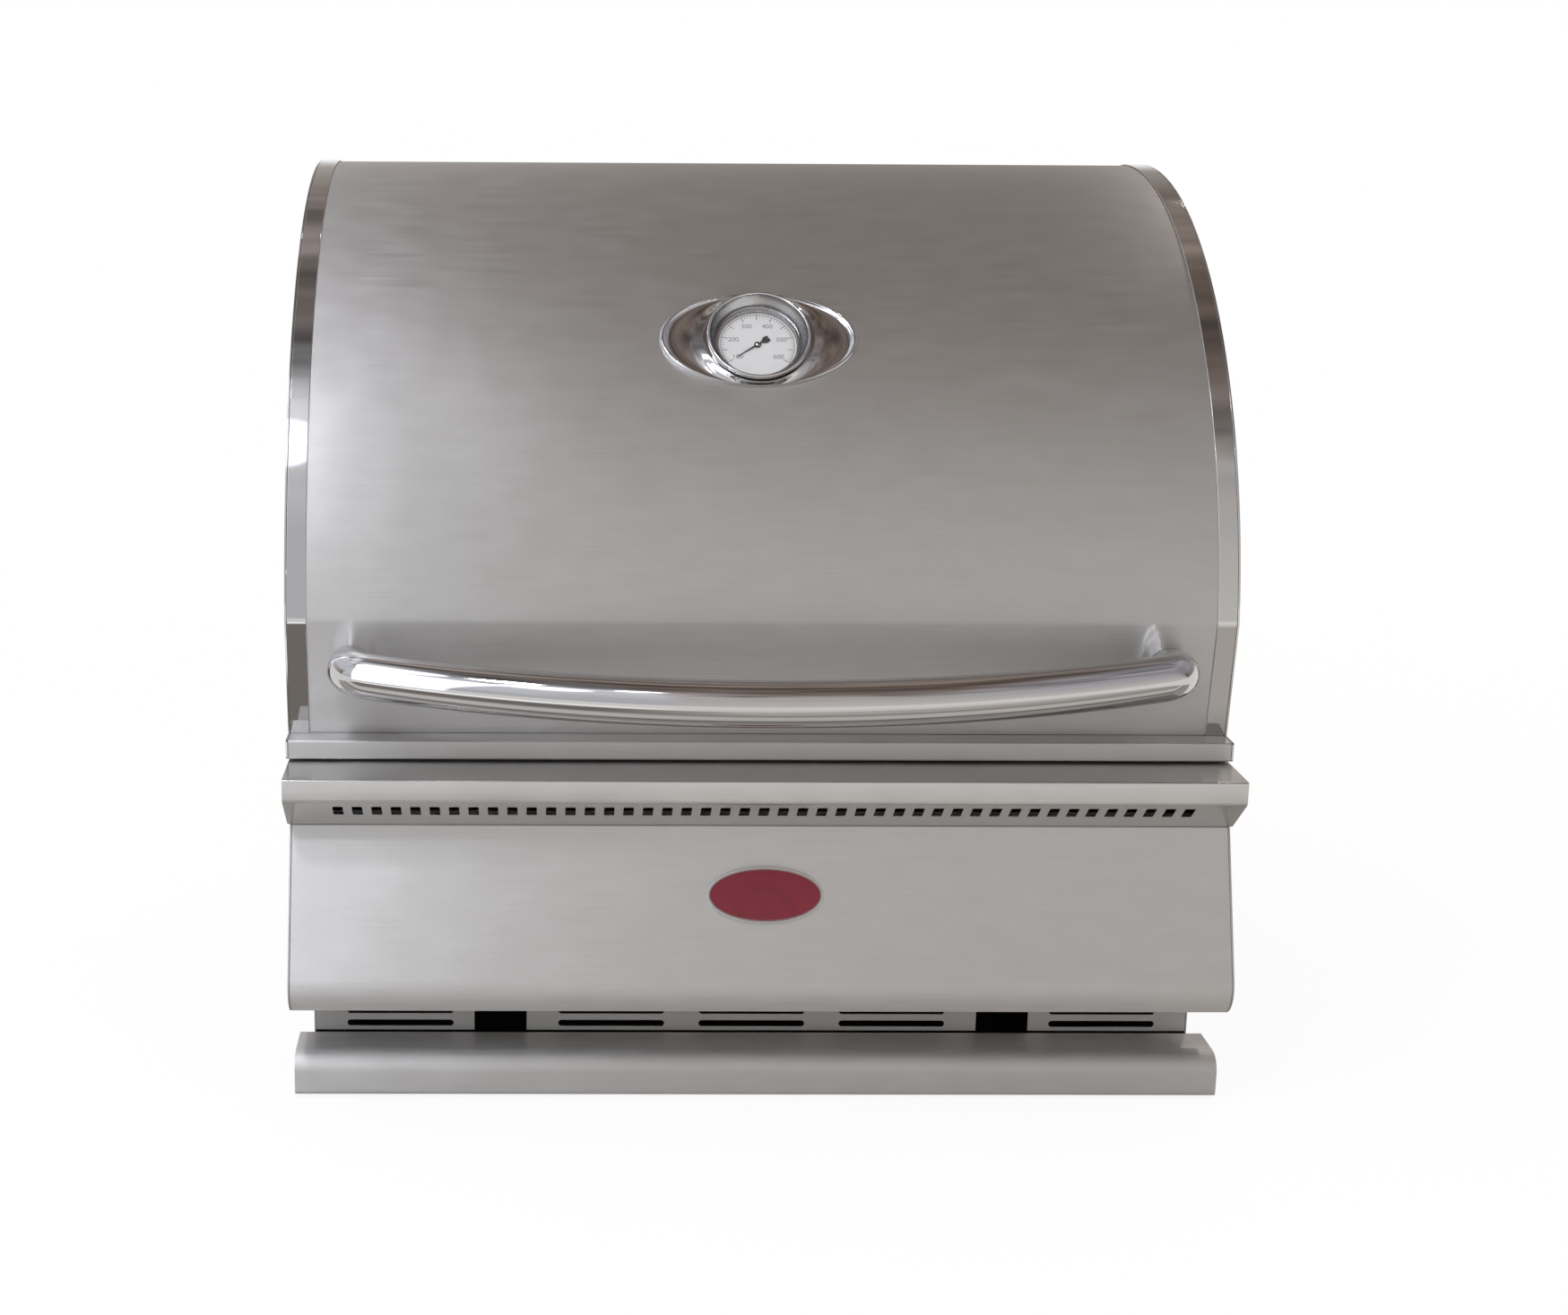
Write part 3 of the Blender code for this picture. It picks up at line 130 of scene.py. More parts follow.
forward = np.array([math.sin(YAW) * math.cos(PITCH), math.cos(YAW) * math.cos(PITCH), -math.sin(PITCH)])
level = np.array([math.cos(YAW), -math.sin(YAW), 0.0])
upright = np.cross(level, forward)
camera_data = bpy.data.cameras.new("camera")
camera = put("camera", camera_data)
stand(camera, CAMERA_SPOT, level * math.cos(ROLL) + upright * math.sin(ROLL),
      upright * math.cos(ROLL) - level * math.sin(ROLL), -forward)
camera_data.sensor_width = SENSOR
camera_data.lens = FOCAL_PIXELS * SENSOR / PHOTO_WIDTH
camera_data.shift_x = (PHOTO_WIDTH / 2 - LENS_POINT[0]) / PHOTO_WIDTH
camera_data.shift_y = (LENS_POINT[1] - PHOTO_HEIGHT / 2) / PHOTO_WIDTH
scene.camera = camera
print("lens", round(camera_data.lens, 2), "mm, shift", round(camera_data.shift_x, 4), round(camera_data.shift_y, 4))

# %% [markdown]
# ## Three helpers for materials
#
# Colours are written as sRGB hex values, as a paint program shows them. Shaders add and multiply light, so they
# need linear values, and shade() turns the first into the second. empty_tree() clears a material's nodes, and
# add() adds any node with its settings and links, which keeps the shader trees short to read.

# %% Colours and nodes
def shade(code):
    """Linear RGBA of an sRGB hex colour: below 0.04045 a straight line, above it a power of 2.4."""
    value = np.array([int(code[i:i + 2], 16) for i in (1, 3, 5)]) / 255
    linear = np.where(value <= 0.04045, value / 12.92, ((value + 0.055) / 1.055) ** 2.4)
    return (*linear.tolist(), 1.0)


def empty_tree(owner):
    """Node tree of a material or world, without the nodes it comes with."""
    owner.use_nodes = True
    owner.node_tree.nodes.clear()
    return owner.node_tree


def add(tree, kind, inputs=(), stops=(), **settings):
    """Adds one node. inputs holds numbers, colours, outputs or whole nodes: a tuple fills the sockets in use in
    their order, and a dictionary names them. A whole node stands for its first output in use. stops holds the
    places and colours of a colour ramp."""
    made = tree.nodes.new("ShaderNode" + kind)
    for name, value in settings.items():
        setattr(made, name, value)
    if isinstance(inputs, dict):
        pairs = [(made.inputs[name], value) for name, value in inputs.items()]
    else:
        pairs = zip([socket for socket in made.inputs if socket.enabled], inputs)
    for socket, value in pairs:
        if isinstance(value, bpy.types.Node):
            value = next(output for output in value.outputs if output.enabled)
        if isinstance(value, bpy.types.NodeSocket):
            tree.links.new(value, socket)
        else:
            socket.default_value = value
    if stops:
        elements = made.color_ramp.elements
        while len(elements) < len(stops):
            elements.new(0.5)
        for element, (spot, code) in zip(elements, stops):
            element.position, element.color = spot, shade(code)
    return made


print("mid grey #808080 is", round(shade("#808080")[0], 3), "linear")

# %% [markdown]
# ## Studio
#
# Bare metal has hardly any colour of its own: it shows the room. The photo's room has a bright side in front, a
# darker warm ceiling over the grill and a white background behind it. The world paints exactly that, as one
# band of colour that runs from the horizon in front over the ceiling to the horizon behind. To the left a
# brighter band takes over, both sides get a pale wall high up, and noise overhead stands for the ceiling's beams.
# Mirror and glass rays see this room, the camera sees plain white, and soft light on paint comes from a plain
# even level. Seven area lamps stand for the window, the bright ceiling and single lights, and the small round
# ones leave the bright spots on the hood.

# %% World
world = bpy.data.worlds.new("studio")
scene.world = world
tree = empty_tree(world)
way_x, way_y, way_z = add(tree, "SeparateXYZ", (add(tree, "TexCoord").outputs["Generated"],)).outputs
height = add(tree, "Math", (way_z,), operation="ABSOLUTE")
nearer = add(tree, "Math", (way_y, -1.0), operation="MULTIPLY")
turn = add(tree, "Math", (height, nearer), operation="ARCTAN2")
half_turn = add(tree, "Math", (turn, math.pi), operation="DIVIDE")
# Degrees from the horizon in front over the ceiling to the horizon behind, with the room's colour there.
room_stops = [(0, "#E6E4E0"), (16, "#DDDBD8"), (28, "#D4D1CE"), (38, "#CAC7C4"), (49, "#B2ACA8"), (58, "#8A807B"),
              (70, "#776B65"), (100, "#75685F"), (112, "#998C84"), (140, "#958A83"), (158, "#A8A09A"),
              (174, "#FFFFFF")]
left_stops = [(0, "#D6D9DE"), (20, "#D8DBE0"), (38, "#EEF0F4"), (55, "#EAECF1"), (66, "#B4B4B8"), (80, "#757070"),
              (98, "#7C7470"), (112, "#A69D99"), (140, "#A69D99"), (158, "#BDB6B1"), (174, "#FFFFFF")]
room, bright_side = (add(tree, "ValToRGB", (half_turn,), [(angle / 180, code) for angle, code in stops])
                     for stops in (room_stops, left_stops))
room.color_ramp.interpolation = bright_side.color_ramp.interpolation = "EASE"
print("world stops", len(room_stops), "and", len(left_stops))

# %% Left side, side walls and beams
# The brighter band begins just left of the middle, and a faint part of it reaches a little to the right.
near_edge = add(tree, "MapRange", (way_x, -0.056, -0.115, 0.0, 0.80), interpolation_type="SMOOTHSTEP")
far_glow = add(tree, "MapRange", (way_x, 0.14, -0.02, 0.0, 0.20), interpolation_type="SMOOTHSTEP")
leftness = add(tree, "Math", (near_edge, far_glow), operation="ADD")
painted = add(tree, "Mix", (leftness, room, bright_side), data_type="RGBA")
high_up = add(tree, "MapRange", (height, 0.15, 0.35, 0.0, 1.0))
for near_x, far_x, amount, code in ((-0.24, -0.38, 0.9, "#EEF2FB"), (0.30, 0.55, 0.5, "#C6C8D6")):
    wall = add(tree, "MapRange", (way_x, near_x, far_x, 0.0, amount), interpolation_type="SMOOTHSTEP")
    wall = add(tree, "Math", (wall, high_up), operation="MULTIPLY")
    painted = add(tree, "Mix", (wall, painted, shade(code)), data_type="RGBA")
beams = add(tree, "TexNoise", {"Vector": add(tree, "TexCoord").outputs["Generated"], "Scale": 5.0, "Detail": 3.0})
beams = add(tree, "MapRange", (beams, 0.35, 0.65, -0.5, 0.5))
overhead = add(tree, "MapRange", (height, 0.55, 0.75, 0.0, 1.0))
gain = add(tree, "Math", (beams, overhead, 1.0), operation="MULTIPLY_ADD")
painted = add(tree, "VectorMath", (painted, gain), operation="SCALE")
print("nodes that paint the room", len(tree.nodes))

# %% What each ray sees
rays = add(tree, "LightPath").outputs
painted = add(tree, "Mix", (rays["Is Camera Ray"], painted, shade("#FFFFFF")), data_type="RGBA")
seen = add(tree, "Math", (rays["Is Camera Ray"], rays["Is Glossy Ray"]), operation="MAXIMUM")
seen = add(tree, "Math", (seen, rays["Is Transmission Ray"]), operation="MAXIMUM")
even = add(tree, "Background", {"Color": shade("#FFFDFA"), "Strength": 1.0})
shown = add(tree, "Background", {"Color": painted, "Strength": 1.0})
add(tree, "OutputWorld", {"Surface": add(tree, "MixShader", (seen, even, shown))})
scene.view_settings.view_transform = "Standard"  # a hex colour lit by plain white comes out as itself
print("nodes in the world", len(tree.nodes))


# %% Lamps
def softbox(name, spot, aim, width, height, power, colour):
    """Area lamp at spot that faces aim, round if it is under 1 m wide. It lights and shows in metal, but the
    camera doesn't see it."""
    data = bpy.data.lights.new(name, "AREA")
    data.shape, data.size, data.size_y = "ELLIPSE" if width < 1 else "RECTANGLE", width, height
    data.energy, data.color = power, shade(colour)[:3]
    lamp = put(name, data)
    away = unit(np.asarray(spot, float) - aim)
    side = unit(np.cross((0, 0, 1), away))
    stand(lamp, spot, side, np.cross(away, side), away)
    lamp.visible_camera = False


softbox("window_left", (-1.70, -1.60, 1.10), (-0.3, -0.3, 0.4), 1.3, 2.2, 14, "#E6EDFF")
softbox("lamp_left", (-0.73, -1.66, 2.06), (-0.35, -0.3, 0.5), 0.15, 0.15, 2.6, "#F2F5FF")
softbox("glow_left", (-0.75, -1.64, 2.00), (-0.35, -0.3, 0.5), 0.42, 0.66, 1.0, "#E4EAFF")
softbox("lamp_above", (-0.86, -1.20, 2.45), (-0.35, -0.3, 0.3), 0.30, 0.30, 5.8, "#F4F6FF")
softbox("lamp_middle", (-0.34, -1.50, 2.35), (-0.2, -0.35, 0.4), 0.20, 0.16, 0.5, "#F4F6FF")
softbox("ceiling_left", (-1.50, -0.95, 2.30), (-0.3, -0.3, 0.4), 0.9, 1.0, 4.5, "#F4F6FF")
softbox("lamp_behind_right", (1.12, 1.60, 2.40), (0.35, 0.0, 0.7), 0.15, 0.15, 2.6, "#FFF6EE")

# %% [markdown]
# ## Floor and grey card
#
# The photo has a plain white ground. A pale matt floor takes the grill's soft shadow, and a share of plain
# white is mixed in for the rays that look at it, more of it with distance, so that no horizon shows. The camera
# gets one share and mirrors another, which grows to the left: painted light, a brighter ground in reflections on
# that side. On the floor in front of the grill lies a grey card that only mirrors see. Its greys are painted
# shade: they stand for the darker ground that the low steel shows in the photo, and its paler strips are painted
# reflections, where the photo's steel turns pale again. The card is matt, with noise of two close tones.

# %% Floor
REACH = 40.0


def ground(name, low, high, level, finish):
    """Flat rectangle between two corners (x, y) at a level. It belongs to the stage, not to the grill."""
    mesh = bpy.data.meshes.new(name)
    mesh.from_pydata([(low[0], low[1], level), (high[0], low[1], level), (high[0], high[1], level),
                      (low[0], high[1], level)], [], [(0, 1, 2, 3)])
    mesh.materials.append(finish)
    made = put(name, mesh)
    return made


pale = bpy.data.materials.new("matt_white_ground")
tree = empty_tree(pale)
where = add(tree, "TexCoord").outputs["Object"]
span = add(tree, "VectorMath", (where,), operation="LENGTH")
far_off = add(tree, "MapRange", (span, 0.6, 2.2, 0.90, 1.0), interpolation_type="SMOOTHSTEP")
far_in_metal = add(tree, "MapRange", (span, 0.6, 2.2, 0.35, 1.0), interpolation_type="SMOOTHSTEP")
rays = add(tree, "LightPath").outputs
mirrored = add(tree, "Math", (rays["Is Glossy Ray"], rays["Is Transmission Ray"]), operation="MAXIMUM")
# Painted light: mirrors see a whiter floor to the left, up to 0.6 more of the white share.
painted_light_left = add(tree, "MapRange", (add(tree, "SeparateXYZ", (where,)).outputs["X"], -0.12, -0.42, 0.0, 0.6))
whiter = add(tree, "Math", (far_in_metal, painted_light_left), operation="ADD", use_clamp=True)
in_metal = add(tree, "Math", (mirrored, whiter), operation="MULTIPLY")
share = add(tree, "Math", (rays["Is Camera Ray"], far_off, in_metal), operation="MULTIPLY_ADD")
grain = add(tree, "TexNoise", {"Vector": where, "Scale": 3.0})
matt = add(tree, "Mix", (grain, shade("#F4F3F1"), shade("#F7F6F4")), data_type="RGBA")
matt = add(tree, "BsdfDiffuse", {"Color": matt})
white = add(tree, "Emission", {"Color": shade("#FFFFFF"), "Strength": 1.0})
add(tree, "OutputMaterial", {"Surface": add(tree, "MixShader", (share, matt, white))})
ground("floor", (-REACH, -REACH), (REACH, REACH), 0, pale)
print("floor is", 2 * REACH, "m wide")

# %% Grey card in front
CARD_LOW, CARD_HIGH = (-1.3, -1.65), (1.3, -0.10)
painted_shade_card = bpy.data.materials.new("painted_shade_and_reflection_card")
tree = empty_tree(painted_shade_card)
where = add(tree, "TexCoord").outputs["Object"]
# The card's base greys are painted shade of the ground in front of the grill, seen only in mirrors.
fibres = add(tree, "TexNoise", {"Vector": where, "Scale": 60.0, "Detail": 4.0})
tone = add(tree, "Mix", (fibres, shade("#6E6A66"), shade("#827E79")), data_type="RGBA")
card_x, card_y, _ = add(tree, "SeparateXYZ", (where,)).outputs
# Painted reflection: paler to the right, beyond 0.7 m in front of the grill.
far_part = add(tree, "MapRange", (card_y, -0.66, -0.80, 0.0, 1.0))
right_part = add(tree, "MapRange", (card_x, -0.28, 0.02, 0.0, 1.0))
painted_pale_right = add(tree, "Math", (far_part, right_part), operation="MULTIPLY")
tone = add(tree, "Mix", (painted_pale_right, tone, shade("#BDBAB5")), data_type="RGBA")
# Painted reflections: a pale strip that the fascia's nose and the ash tray show, and a fainter one near the rail.
painted_pale_strip = add(tree, "MapRange", (card_y, -0.72, -0.58, 0.0, 0.85))
beneath = add(tree, "MapRange", (card_y, -0.48, -0.41, 1.0, 0.0))
painted_pale_strip = add(tree, "Math", (painted_pale_strip, beneath), operation="MULTIPLY")
under_rail = add(tree, "MapRange", (card_y, -0.40, -0.375, 0.0, 0.4))
painted_pale_strip = add(tree, "Math", (painted_pale_strip, under_rail), operation="MAXIMUM")
tone = add(tree, "Mix", (painted_pale_strip, tone, shade("#DCDAD7")), data_type="RGBA")
# Painted light: white at the far edge, brighter to the left.
painted_edge_light = add(tree, "MapRange", (card_x, -0.10, -0.36, 0.0, 1.0))
painted_edge_light = add(tree, "Mix", (painted_edge_light, shade("#DEDCD9"), shade("#FFFFFF")), data_type="RGBA")
edge_part = add(tree, "MapRange", (card_y, -1.04, -1.22, 0.0, 1.0))
tone = add(tree, "Mix", (edge_part, tone, painted_edge_light), data_type="RGBA")
add(tree, "OutputMaterial", {"Surface": add(tree, "BsdfDiffuse", {"Color": tone})})
card = ground("grey_card", CARD_LOW, CARD_HIGH, 0.002, painted_shade_card)
card.visible_camera = card.visible_diffuse = card.visible_shadow = False
print("card from", CARD_LOW[1], "to", CARD_HIGH[1])

# %% [markdown]
# ## Brushed stainless steel
#
# The hood, the fascia and both rails are 304 sheet with a number 4 brushed finish: a belt of about 150 grit
# drawn from side to side. It leaves fine scratches along the grain, so the metal mirrors sharply along them and
# smears every reflection across them. That is what an anisotropic shader does. Its direction comes from a UV
# map called "grain", in metres, whose first way runs along the scratches. Real scratches are about 0.1 mm wide
# and 10 to 40 mm long; they are drawn 0.7 mm wide and 90 mm long here, because finer ones vanish between
# two pixels. A slow waviness of about 15 cm stands for the slight oil-canning of thin sheet. In the photo the
# vented rail mirrors more sharply than the hood, and the fascia and the ash tray's rail more softly, so they get
# a finer and a coarser grade. The hood's inside is the same sheet, a little duller.

# %% Steel with a grain
SCRATCH_WIDTH, SCRATCH_LENGTH, SCRATCH_DEPTH = 0.0007, 0.09, 0.00002


def grained_steel(name, light, dark, rough, spread, stretch):
    """Steel with scratches along U: noise stretched to a scratch's length and width sets tone, roughness (rough,
    plus or minus spread) and a shallow bump. stretch is how far reflections smear across the grain."""
    made = bpy.data.materials.new(name)
    tree = empty_tree(made)
    uv = add(tree, "UVMap", uv_map="grain")
    fine = add(tree, "Mapping", {"Vector": uv, "Scale": (1 / SCRATCH_LENGTH, 1 / SCRATCH_WIDTH, 1)})
    lines = add(tree, "TexNoise", {"Vector": fine, "Scale": 1.0, "Detail": 3.0})
    cloud = add(tree, "Mapping", {"Vector": uv, "Scale": (7.0, 9.0, 1)})
    waves = add(tree, "TexNoise", {"Vector": cloud, "Scale": 1.0, "Detail": 2.0})
    blotch = add(tree, "Mapping", {"Vector": uv, "Scale": (25.0, 60.0, 1)})
    stains = add(tree, "TexNoise", {"Vector": blotch, "Scale": 1.0, "Detail": 4.0})
    tone = add(tree, "Math", (lines, 0.8, -0.15), operation="MULTIPLY_ADD")
    tone = add(tree, "Math", (stains, 0.5, tone), operation="MULTIPLY_ADD", use_clamp=True)
    colour = add(tree, "Mix", (tone, shade(dark), shade(light)), data_type="RGBA")
    gloss = add(tree, "MapRange", (lines, 0.3, 0.7, rough - spread, rough + spread))
    gloss = add(tree, "Math", (stains, spread, gloss), operation="MULTIPLY_ADD")
    bump = add(tree, "Bump", {"Height": lines, "Strength": 0.35, "Distance": SCRATCH_DEPTH})
    bump = add(tree, "Bump", {"Height": waves, "Strength": 0.5, "Distance": 0.0030, "Normal": bump})
    along = add(tree, "Tangent", direction_type="UV_MAP", uv_map="grain")
    steel = add(tree, "BsdfPrincipled", {
        "Base Color": colour, "Metallic": 1.0, "Roughness": gloss, "Anisotropic": stretch,
        "Anisotropic Rotation": 0.25, "Tangent": along, "Normal": bump})
    add(tree, "OutputMaterial", {"Surface": steel})
    return made


brushed = grained_steel("brushed_304_steel", "#D2D1D0", "#B7B5B3", 0.385, 0.04, 0.9)
fine_brushed = grained_steel("fine_brushed_304_steel", "#D4D3D2", "#BAB8B6", 0.19, 0.03, 0.85)
# Painted light: the coarse grade's tones are lighter than those of the other brushed grades of the same steel,
# standing in for brighter light on the fascia and the ash tray's rail.
coarse_brushed_painted_lighter = grained_steel("coarse_brushed_304_steel_painted_lighter", "#EAE9E8", "#D0CECC", 0.45, 0.04, 0.9)
hood_inside = grained_steel("bright_hood_inside", "#C6C3BF", "#AFABA6", 0.42, 0.06, 0.4)
print("brushed steels", [m.name for m in (brushed, fine_brushed, coarse_brushed_painted_lighter, hood_inside)])

# %% [markdown]
# ## Polished, satin and plain steel
#
# The handle, the hood's ends and edge trims, the gauge and the badge's rim are buffed to a mirror. A mirror still
# shows faint buffing haze and the sheet's long waves, so both are added in small amounts. The gauge's cup is
# satin: turned, then rubbed dull, so that it glows softly round the dial. Brackets and bolts keep the dull grey
# of the rolling mill. The photo shows a new grill, so the firebox and the grates are clean stainless too, a
# little duller and warmer than the outside.

# %% Steel without a grain
def plain_steel(name, colours, rough, spread, patch, wave, wave_size):
    """Steel whose colours follow noise patches of the given size, with slow waves of the given height."""
    made = bpy.data.materials.new(name)
    tree = empty_tree(made)
    where = add(tree, "TexCoord").outputs["Object"]
    patches = add(tree, "TexNoise", {"Vector": where, "Scale": 1 / patch, "Detail": 5.0, "Roughness": 0.6})
    stops = [(0.3 + 0.4 * index / (len(colours) - 1), code) for index, code in enumerate(colours)]
    colour = add(tree, "ValToRGB", (patches,), stops)
    gloss = add(tree, "MapRange", (patches, 0.3, 0.7, rough - spread, rough + spread))
    slow = add(tree, "TexNoise", {"Vector": where, "Scale": 1 / wave_size, "Detail": 1.0})
    bump = add(tree, "Bump", {"Height": slow, "Strength": 0.5, "Distance": wave})
    steel = add(tree, "BsdfPrincipled", {"Base Color": colour, "Metallic": 1.0, "Roughness": gloss, "Normal": bump})
    add(tree, "OutputMaterial", {"Surface": steel})
    return made


polished = plain_steel("mirror_polished_steel", ("#C4C2C1", "#C7C5C4"), 0.055, 0.015, 0.05, 0.0003, 0.06)
mill_steel = plain_steel("mill_finish_steel", ("#9D9A96", "#B2AFAB"), 0.42, 0.06, 0.01, 0.0002, 0.03)
satin = plain_steel("satin_steel", ("#BDBCBB", "#C6C5C4"), 0.27, 0.03, 0.02, 0.0001, 0.03)
firebox_steel = plain_steel("clean_firebox_steel", ("#A9A49E", "#B4B0AB", "#BDB9B4", "#B3B2B3"), 0.36, 0.06, 0.05,
                            0.0004, 0.04)
print("steels", [m.name for m in (polished, mill_steel, satin, firebox_steel)])

# %% [markdown]
# ## Enamel, dial lacquer, print and glass
#
# The badge's field is vitreous enamel: glass powder fused on metal, deep red and glossy by itself. The dial
# is matt white lacquer with grey print, and its pointer is painted dark. The gauge's window is a thin flat pane,
# which bends no light worth seeing, so it is a mirror that lets through all the light it doesn't reflect: its
# opacity is the Fresnel reflection of glass.

# %% Enamel, lacquer, print, glass
PEEL_SIZE, GLASS_IOR = 0.003, 1.52


def lacquer(name, light, dark, rough, coat, patch, bump_height):
    """Paint or enamel: two close tones in soft patches, a slight orange peel, and a share of clear coat."""
    made = bpy.data.materials.new(name)
    tree = empty_tree(made)
    where = add(tree, "TexCoord").outputs["Object"]
    patches = add(tree, "TexNoise", {"Vector": where, "Scale": 1 / patch, "Detail": 4.0})
    colour = add(tree, "Mix", (patches, shade(dark), shade(light)), data_type="RGBA")
    gloss = add(tree, "MapRange", (patches, 0, 1, rough - 0.04, rough + 0.04))
    peel = add(tree, "TexNoise", {"Vector": where, "Scale": 1 / PEEL_SIZE, "Detail": 1.0})
    bump = add(tree, "Bump", {"Height": peel, "Strength": 0.4, "Distance": bump_height})
    paint = add(tree, "BsdfPrincipled", {"Base Color": colour, "Roughness": gloss, "Coat Weight": coat,
                                         "Coat Roughness": 0.06, "Normal": bump})
    add(tree, "OutputMaterial", {"Surface": paint})
    return made


enamel = lacquer("ruby_vitreous_enamel", "#741327", "#5A0D1E", 0.14, 0.0, 0.012, 0.00004)
dial_white = lacquer("matt_white_dial_lacquer", "#FAFAFB", "#F4F4F5", 0.5, 0.0, 0.02, 0.00002)
dial_print = lacquer("grey_dial_print", "#97989D", "#88898E", 0.5, 0.0, 0.004, 0.00001)
pointer_lacquer = lacquer("dark_pointer_lacquer", "#3D3E43", "#2E2F33", 0.35, 0.3, 0.004, 0.00001)

glass = bpy.data.materials.new("gauge_glass")
tree = empty_tree(glass)
where = add(tree, "TexCoord").outputs["Object"]
film = add(tree, "TexNoise", {"Vector": where, "Scale": 120.0, "Detail": 3.0})
haze = add(tree, "MapRange", (film, 0, 1, 0.01, 0.06))
edge_mirror = add(tree, "Fresnel", {"IOR": GLASS_IOR})
pane = add(tree, "BsdfPrincipled", {"Base Color": shade("#FFFFFF"), "Metallic": 1.0, "Roughness": haze,
                                    "Alpha": edge_mirror})
add(tree, "OutputMaterial", {"Surface": pane})
print("paints and glass", [m.name for m in (enamel, dial_white, dial_print, pointer_lacquer, glass)])

# %% Grids
def at_level(points, level=0.0):
    """Flat points with a third coordinate."""
    return np.concatenate([points, np.broadcast_to(level, points.shape[:-1])[..., None]], axis=-1)


def net(points, grain, wrap=False):
    """Quads between the neighbours of a grid (rows, columns, 3). The normal is the column way crossed with the
    row way. grain holds U and V for each point, with one more column where the grid closes on itself."""
    rows, columns = points.shape[:2]
    i, j = np.meshgrid(np.arange(rows - 1), np.arange(columns if wrap else columns - 1), indexing="ij")
    after = (j + 1) % columns
    quads = np.stack([i * columns + j, i * columns + after, (i + 1) * columns + after, (i + 1) * columns + j], -1)
    corners = np.stack([grain[i, j], grain[i, j + 1], grain[i + 1, j + 1], grain[i + 1, j]], 2)
    return points.reshape(-1, 3), quads.reshape(-1, 4), corners.reshape(-1, 4, 2)


print("a grid of 3 by 4 points makes", len(net(np.zeros((3, 4, 3)), np.zeros((3, 4, 2)))[1]), "quads")


# %% Pieces
def make_piece(name, patches, body, nodes, finishes, closed=False, crease=32):
    """Mesh from patches (points, quads, corner UVs), with doubles merged and sharp edges above the crease
    angle. A closed shell's normals are turned outwards."""
    starts = np.cumsum([0] + [len(points) for points, _, _ in patches])
    points = np.concatenate([p for p, _, _ in patches])
    quads = np.concatenate([q + start for (_, q, _), start in zip(patches, starts)])
    corners = np.concatenate([c for _, _, c in patches])
    mesh = bpy.data.meshes.new(name)
    mesh.from_pydata(points.tolist(), [], quads.tolist())
    mesh.uv_layers.new(name="grain").data.foreach_set("uv", corners.reshape(-1).astype(np.float32))
    work = bmesh.new()
    work.from_mesh(mesh)
    bmesh.ops.remove_doubles(work, verts=work.verts, dist=0.000002)
    if closed:
        bmesh.ops.recalc_face_normals(work, faces=work.faces)
    work.to_mesh(mesh)
    work.free()
    mesh.shade_smooth()
    mesh.set_sharp_from_angle(angle=math.radians(crease))
    for finish in finishes:
        mesh.materials.append(finish)
    made = put(name, mesh)
    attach(made, body)
    if nodes:
        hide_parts(*nodes)
    size = np.ptp([v.co for v in mesh.vertices], axis=0)
    print(name, len(mesh.polygons), "faces, size", (size * 1000).round(1).tolist(), "mm")
    return made


def thicken(thing, thickness=SHEET, edge=0.0003, inner_finish=0):
    """Gives a surface its sheet thickness on the inside, and rounds the sheet's edges."""
    wall = thing.modifiers.new("sheet", "SOLIDIFY")
    wall.thickness, wall.offset = thickness, -1
    wall.use_even_offset = wall.use_quality_normals = True
    wall.material_offset = inner_finish
    soften(thing, edge)


def soften(thing, edge=0.0003, segments=2, angle=50):
    """Rounds edges sharper than the angle, so that they catch light as real ones do."""
    round_off = thing.modifiers.new("edges", "BEVEL")
    round_off.width, round_off.segments = edge, segments
    round_off.limit_method, round_off.angle_limit = "ANGLE", math.radians(angle)
    round_off.harden_normals = round_off.use_clamp_overlap = True


print("sheets are", SHEET * 1000, "mm thick")

# %% [markdown]
# ## Folded sheet with openings
#
# Almost every outside panel is a flat blank that was punched and then folded. The code does the same: it works
# on the flat blank, where U runs across the grill and V along the side profile, leaves the openings out, and
# then bends the blank by looking up each V on the profile. Around an opening, the grid keeps a square block
# free and rings of quads run from the block's edge to the nearest point of the rounded outline.

# %% Lines and turns
def rounded(corners, reach, steps=8):
    """Line through corners, each inner one turned into a quadratic curve that starts and ends reach from it."""
    corners = np.asarray(corners, float)
    share = np.linspace(0, 1, steps + 1)[:, None]
    parts = [corners[:1]]
    for before, corner, after in zip(corners, corners[1:], corners[2:]):
        start, end = (corner + way * min(reach / np.linalg.norm(way), 0.5)
                      for way in (before - corner, after - corner))
        parts.append((1 - share) ** 2 * start + 2 * share * (1 - share) * corner + share ** 2 * end)
    return np.concatenate(parts + [corners[-1:]])


def arc(centre, radius, start, end, steps):
    """Circle's points from the centre, at angles that turn from the front upwards, in degrees."""
    angle = np.radians(np.linspace(start, end, steps + 1))
    return np.asarray(centre) + radius * np.stack([-np.cos(angle), np.sin(angle)], axis=1)


def lengths(line):
    """Distance along a line to each of its points."""
    return np.concatenate([[0], np.cumsum(np.linalg.norm(np.diff(line, axis=0), axis=1))])


def round_turn(steps):
    """Angles of one full turn, without the last one, which is the first again."""
    return np.linspace(0, 2 * math.pi, steps, endpoint=False)


print("quarter circle of radius 1:", round(lengths(arc((0, 0), 1, 0, 90, 64))[-1], 4))

# %% Blanks with openings
LINE_GAP = 0.0005  # least room between an opening's block and the next grid line


def edge_lines(centre, half, corner, margin, steps):
    """Grid lines round an opening: from its margin to where its rounded corners begin, on both sides."""
    steps_out = np.linspace(half - corner, half + margin, steps)
    return np.concatenate([centre - steps_out[::-1], centre + steps_out])


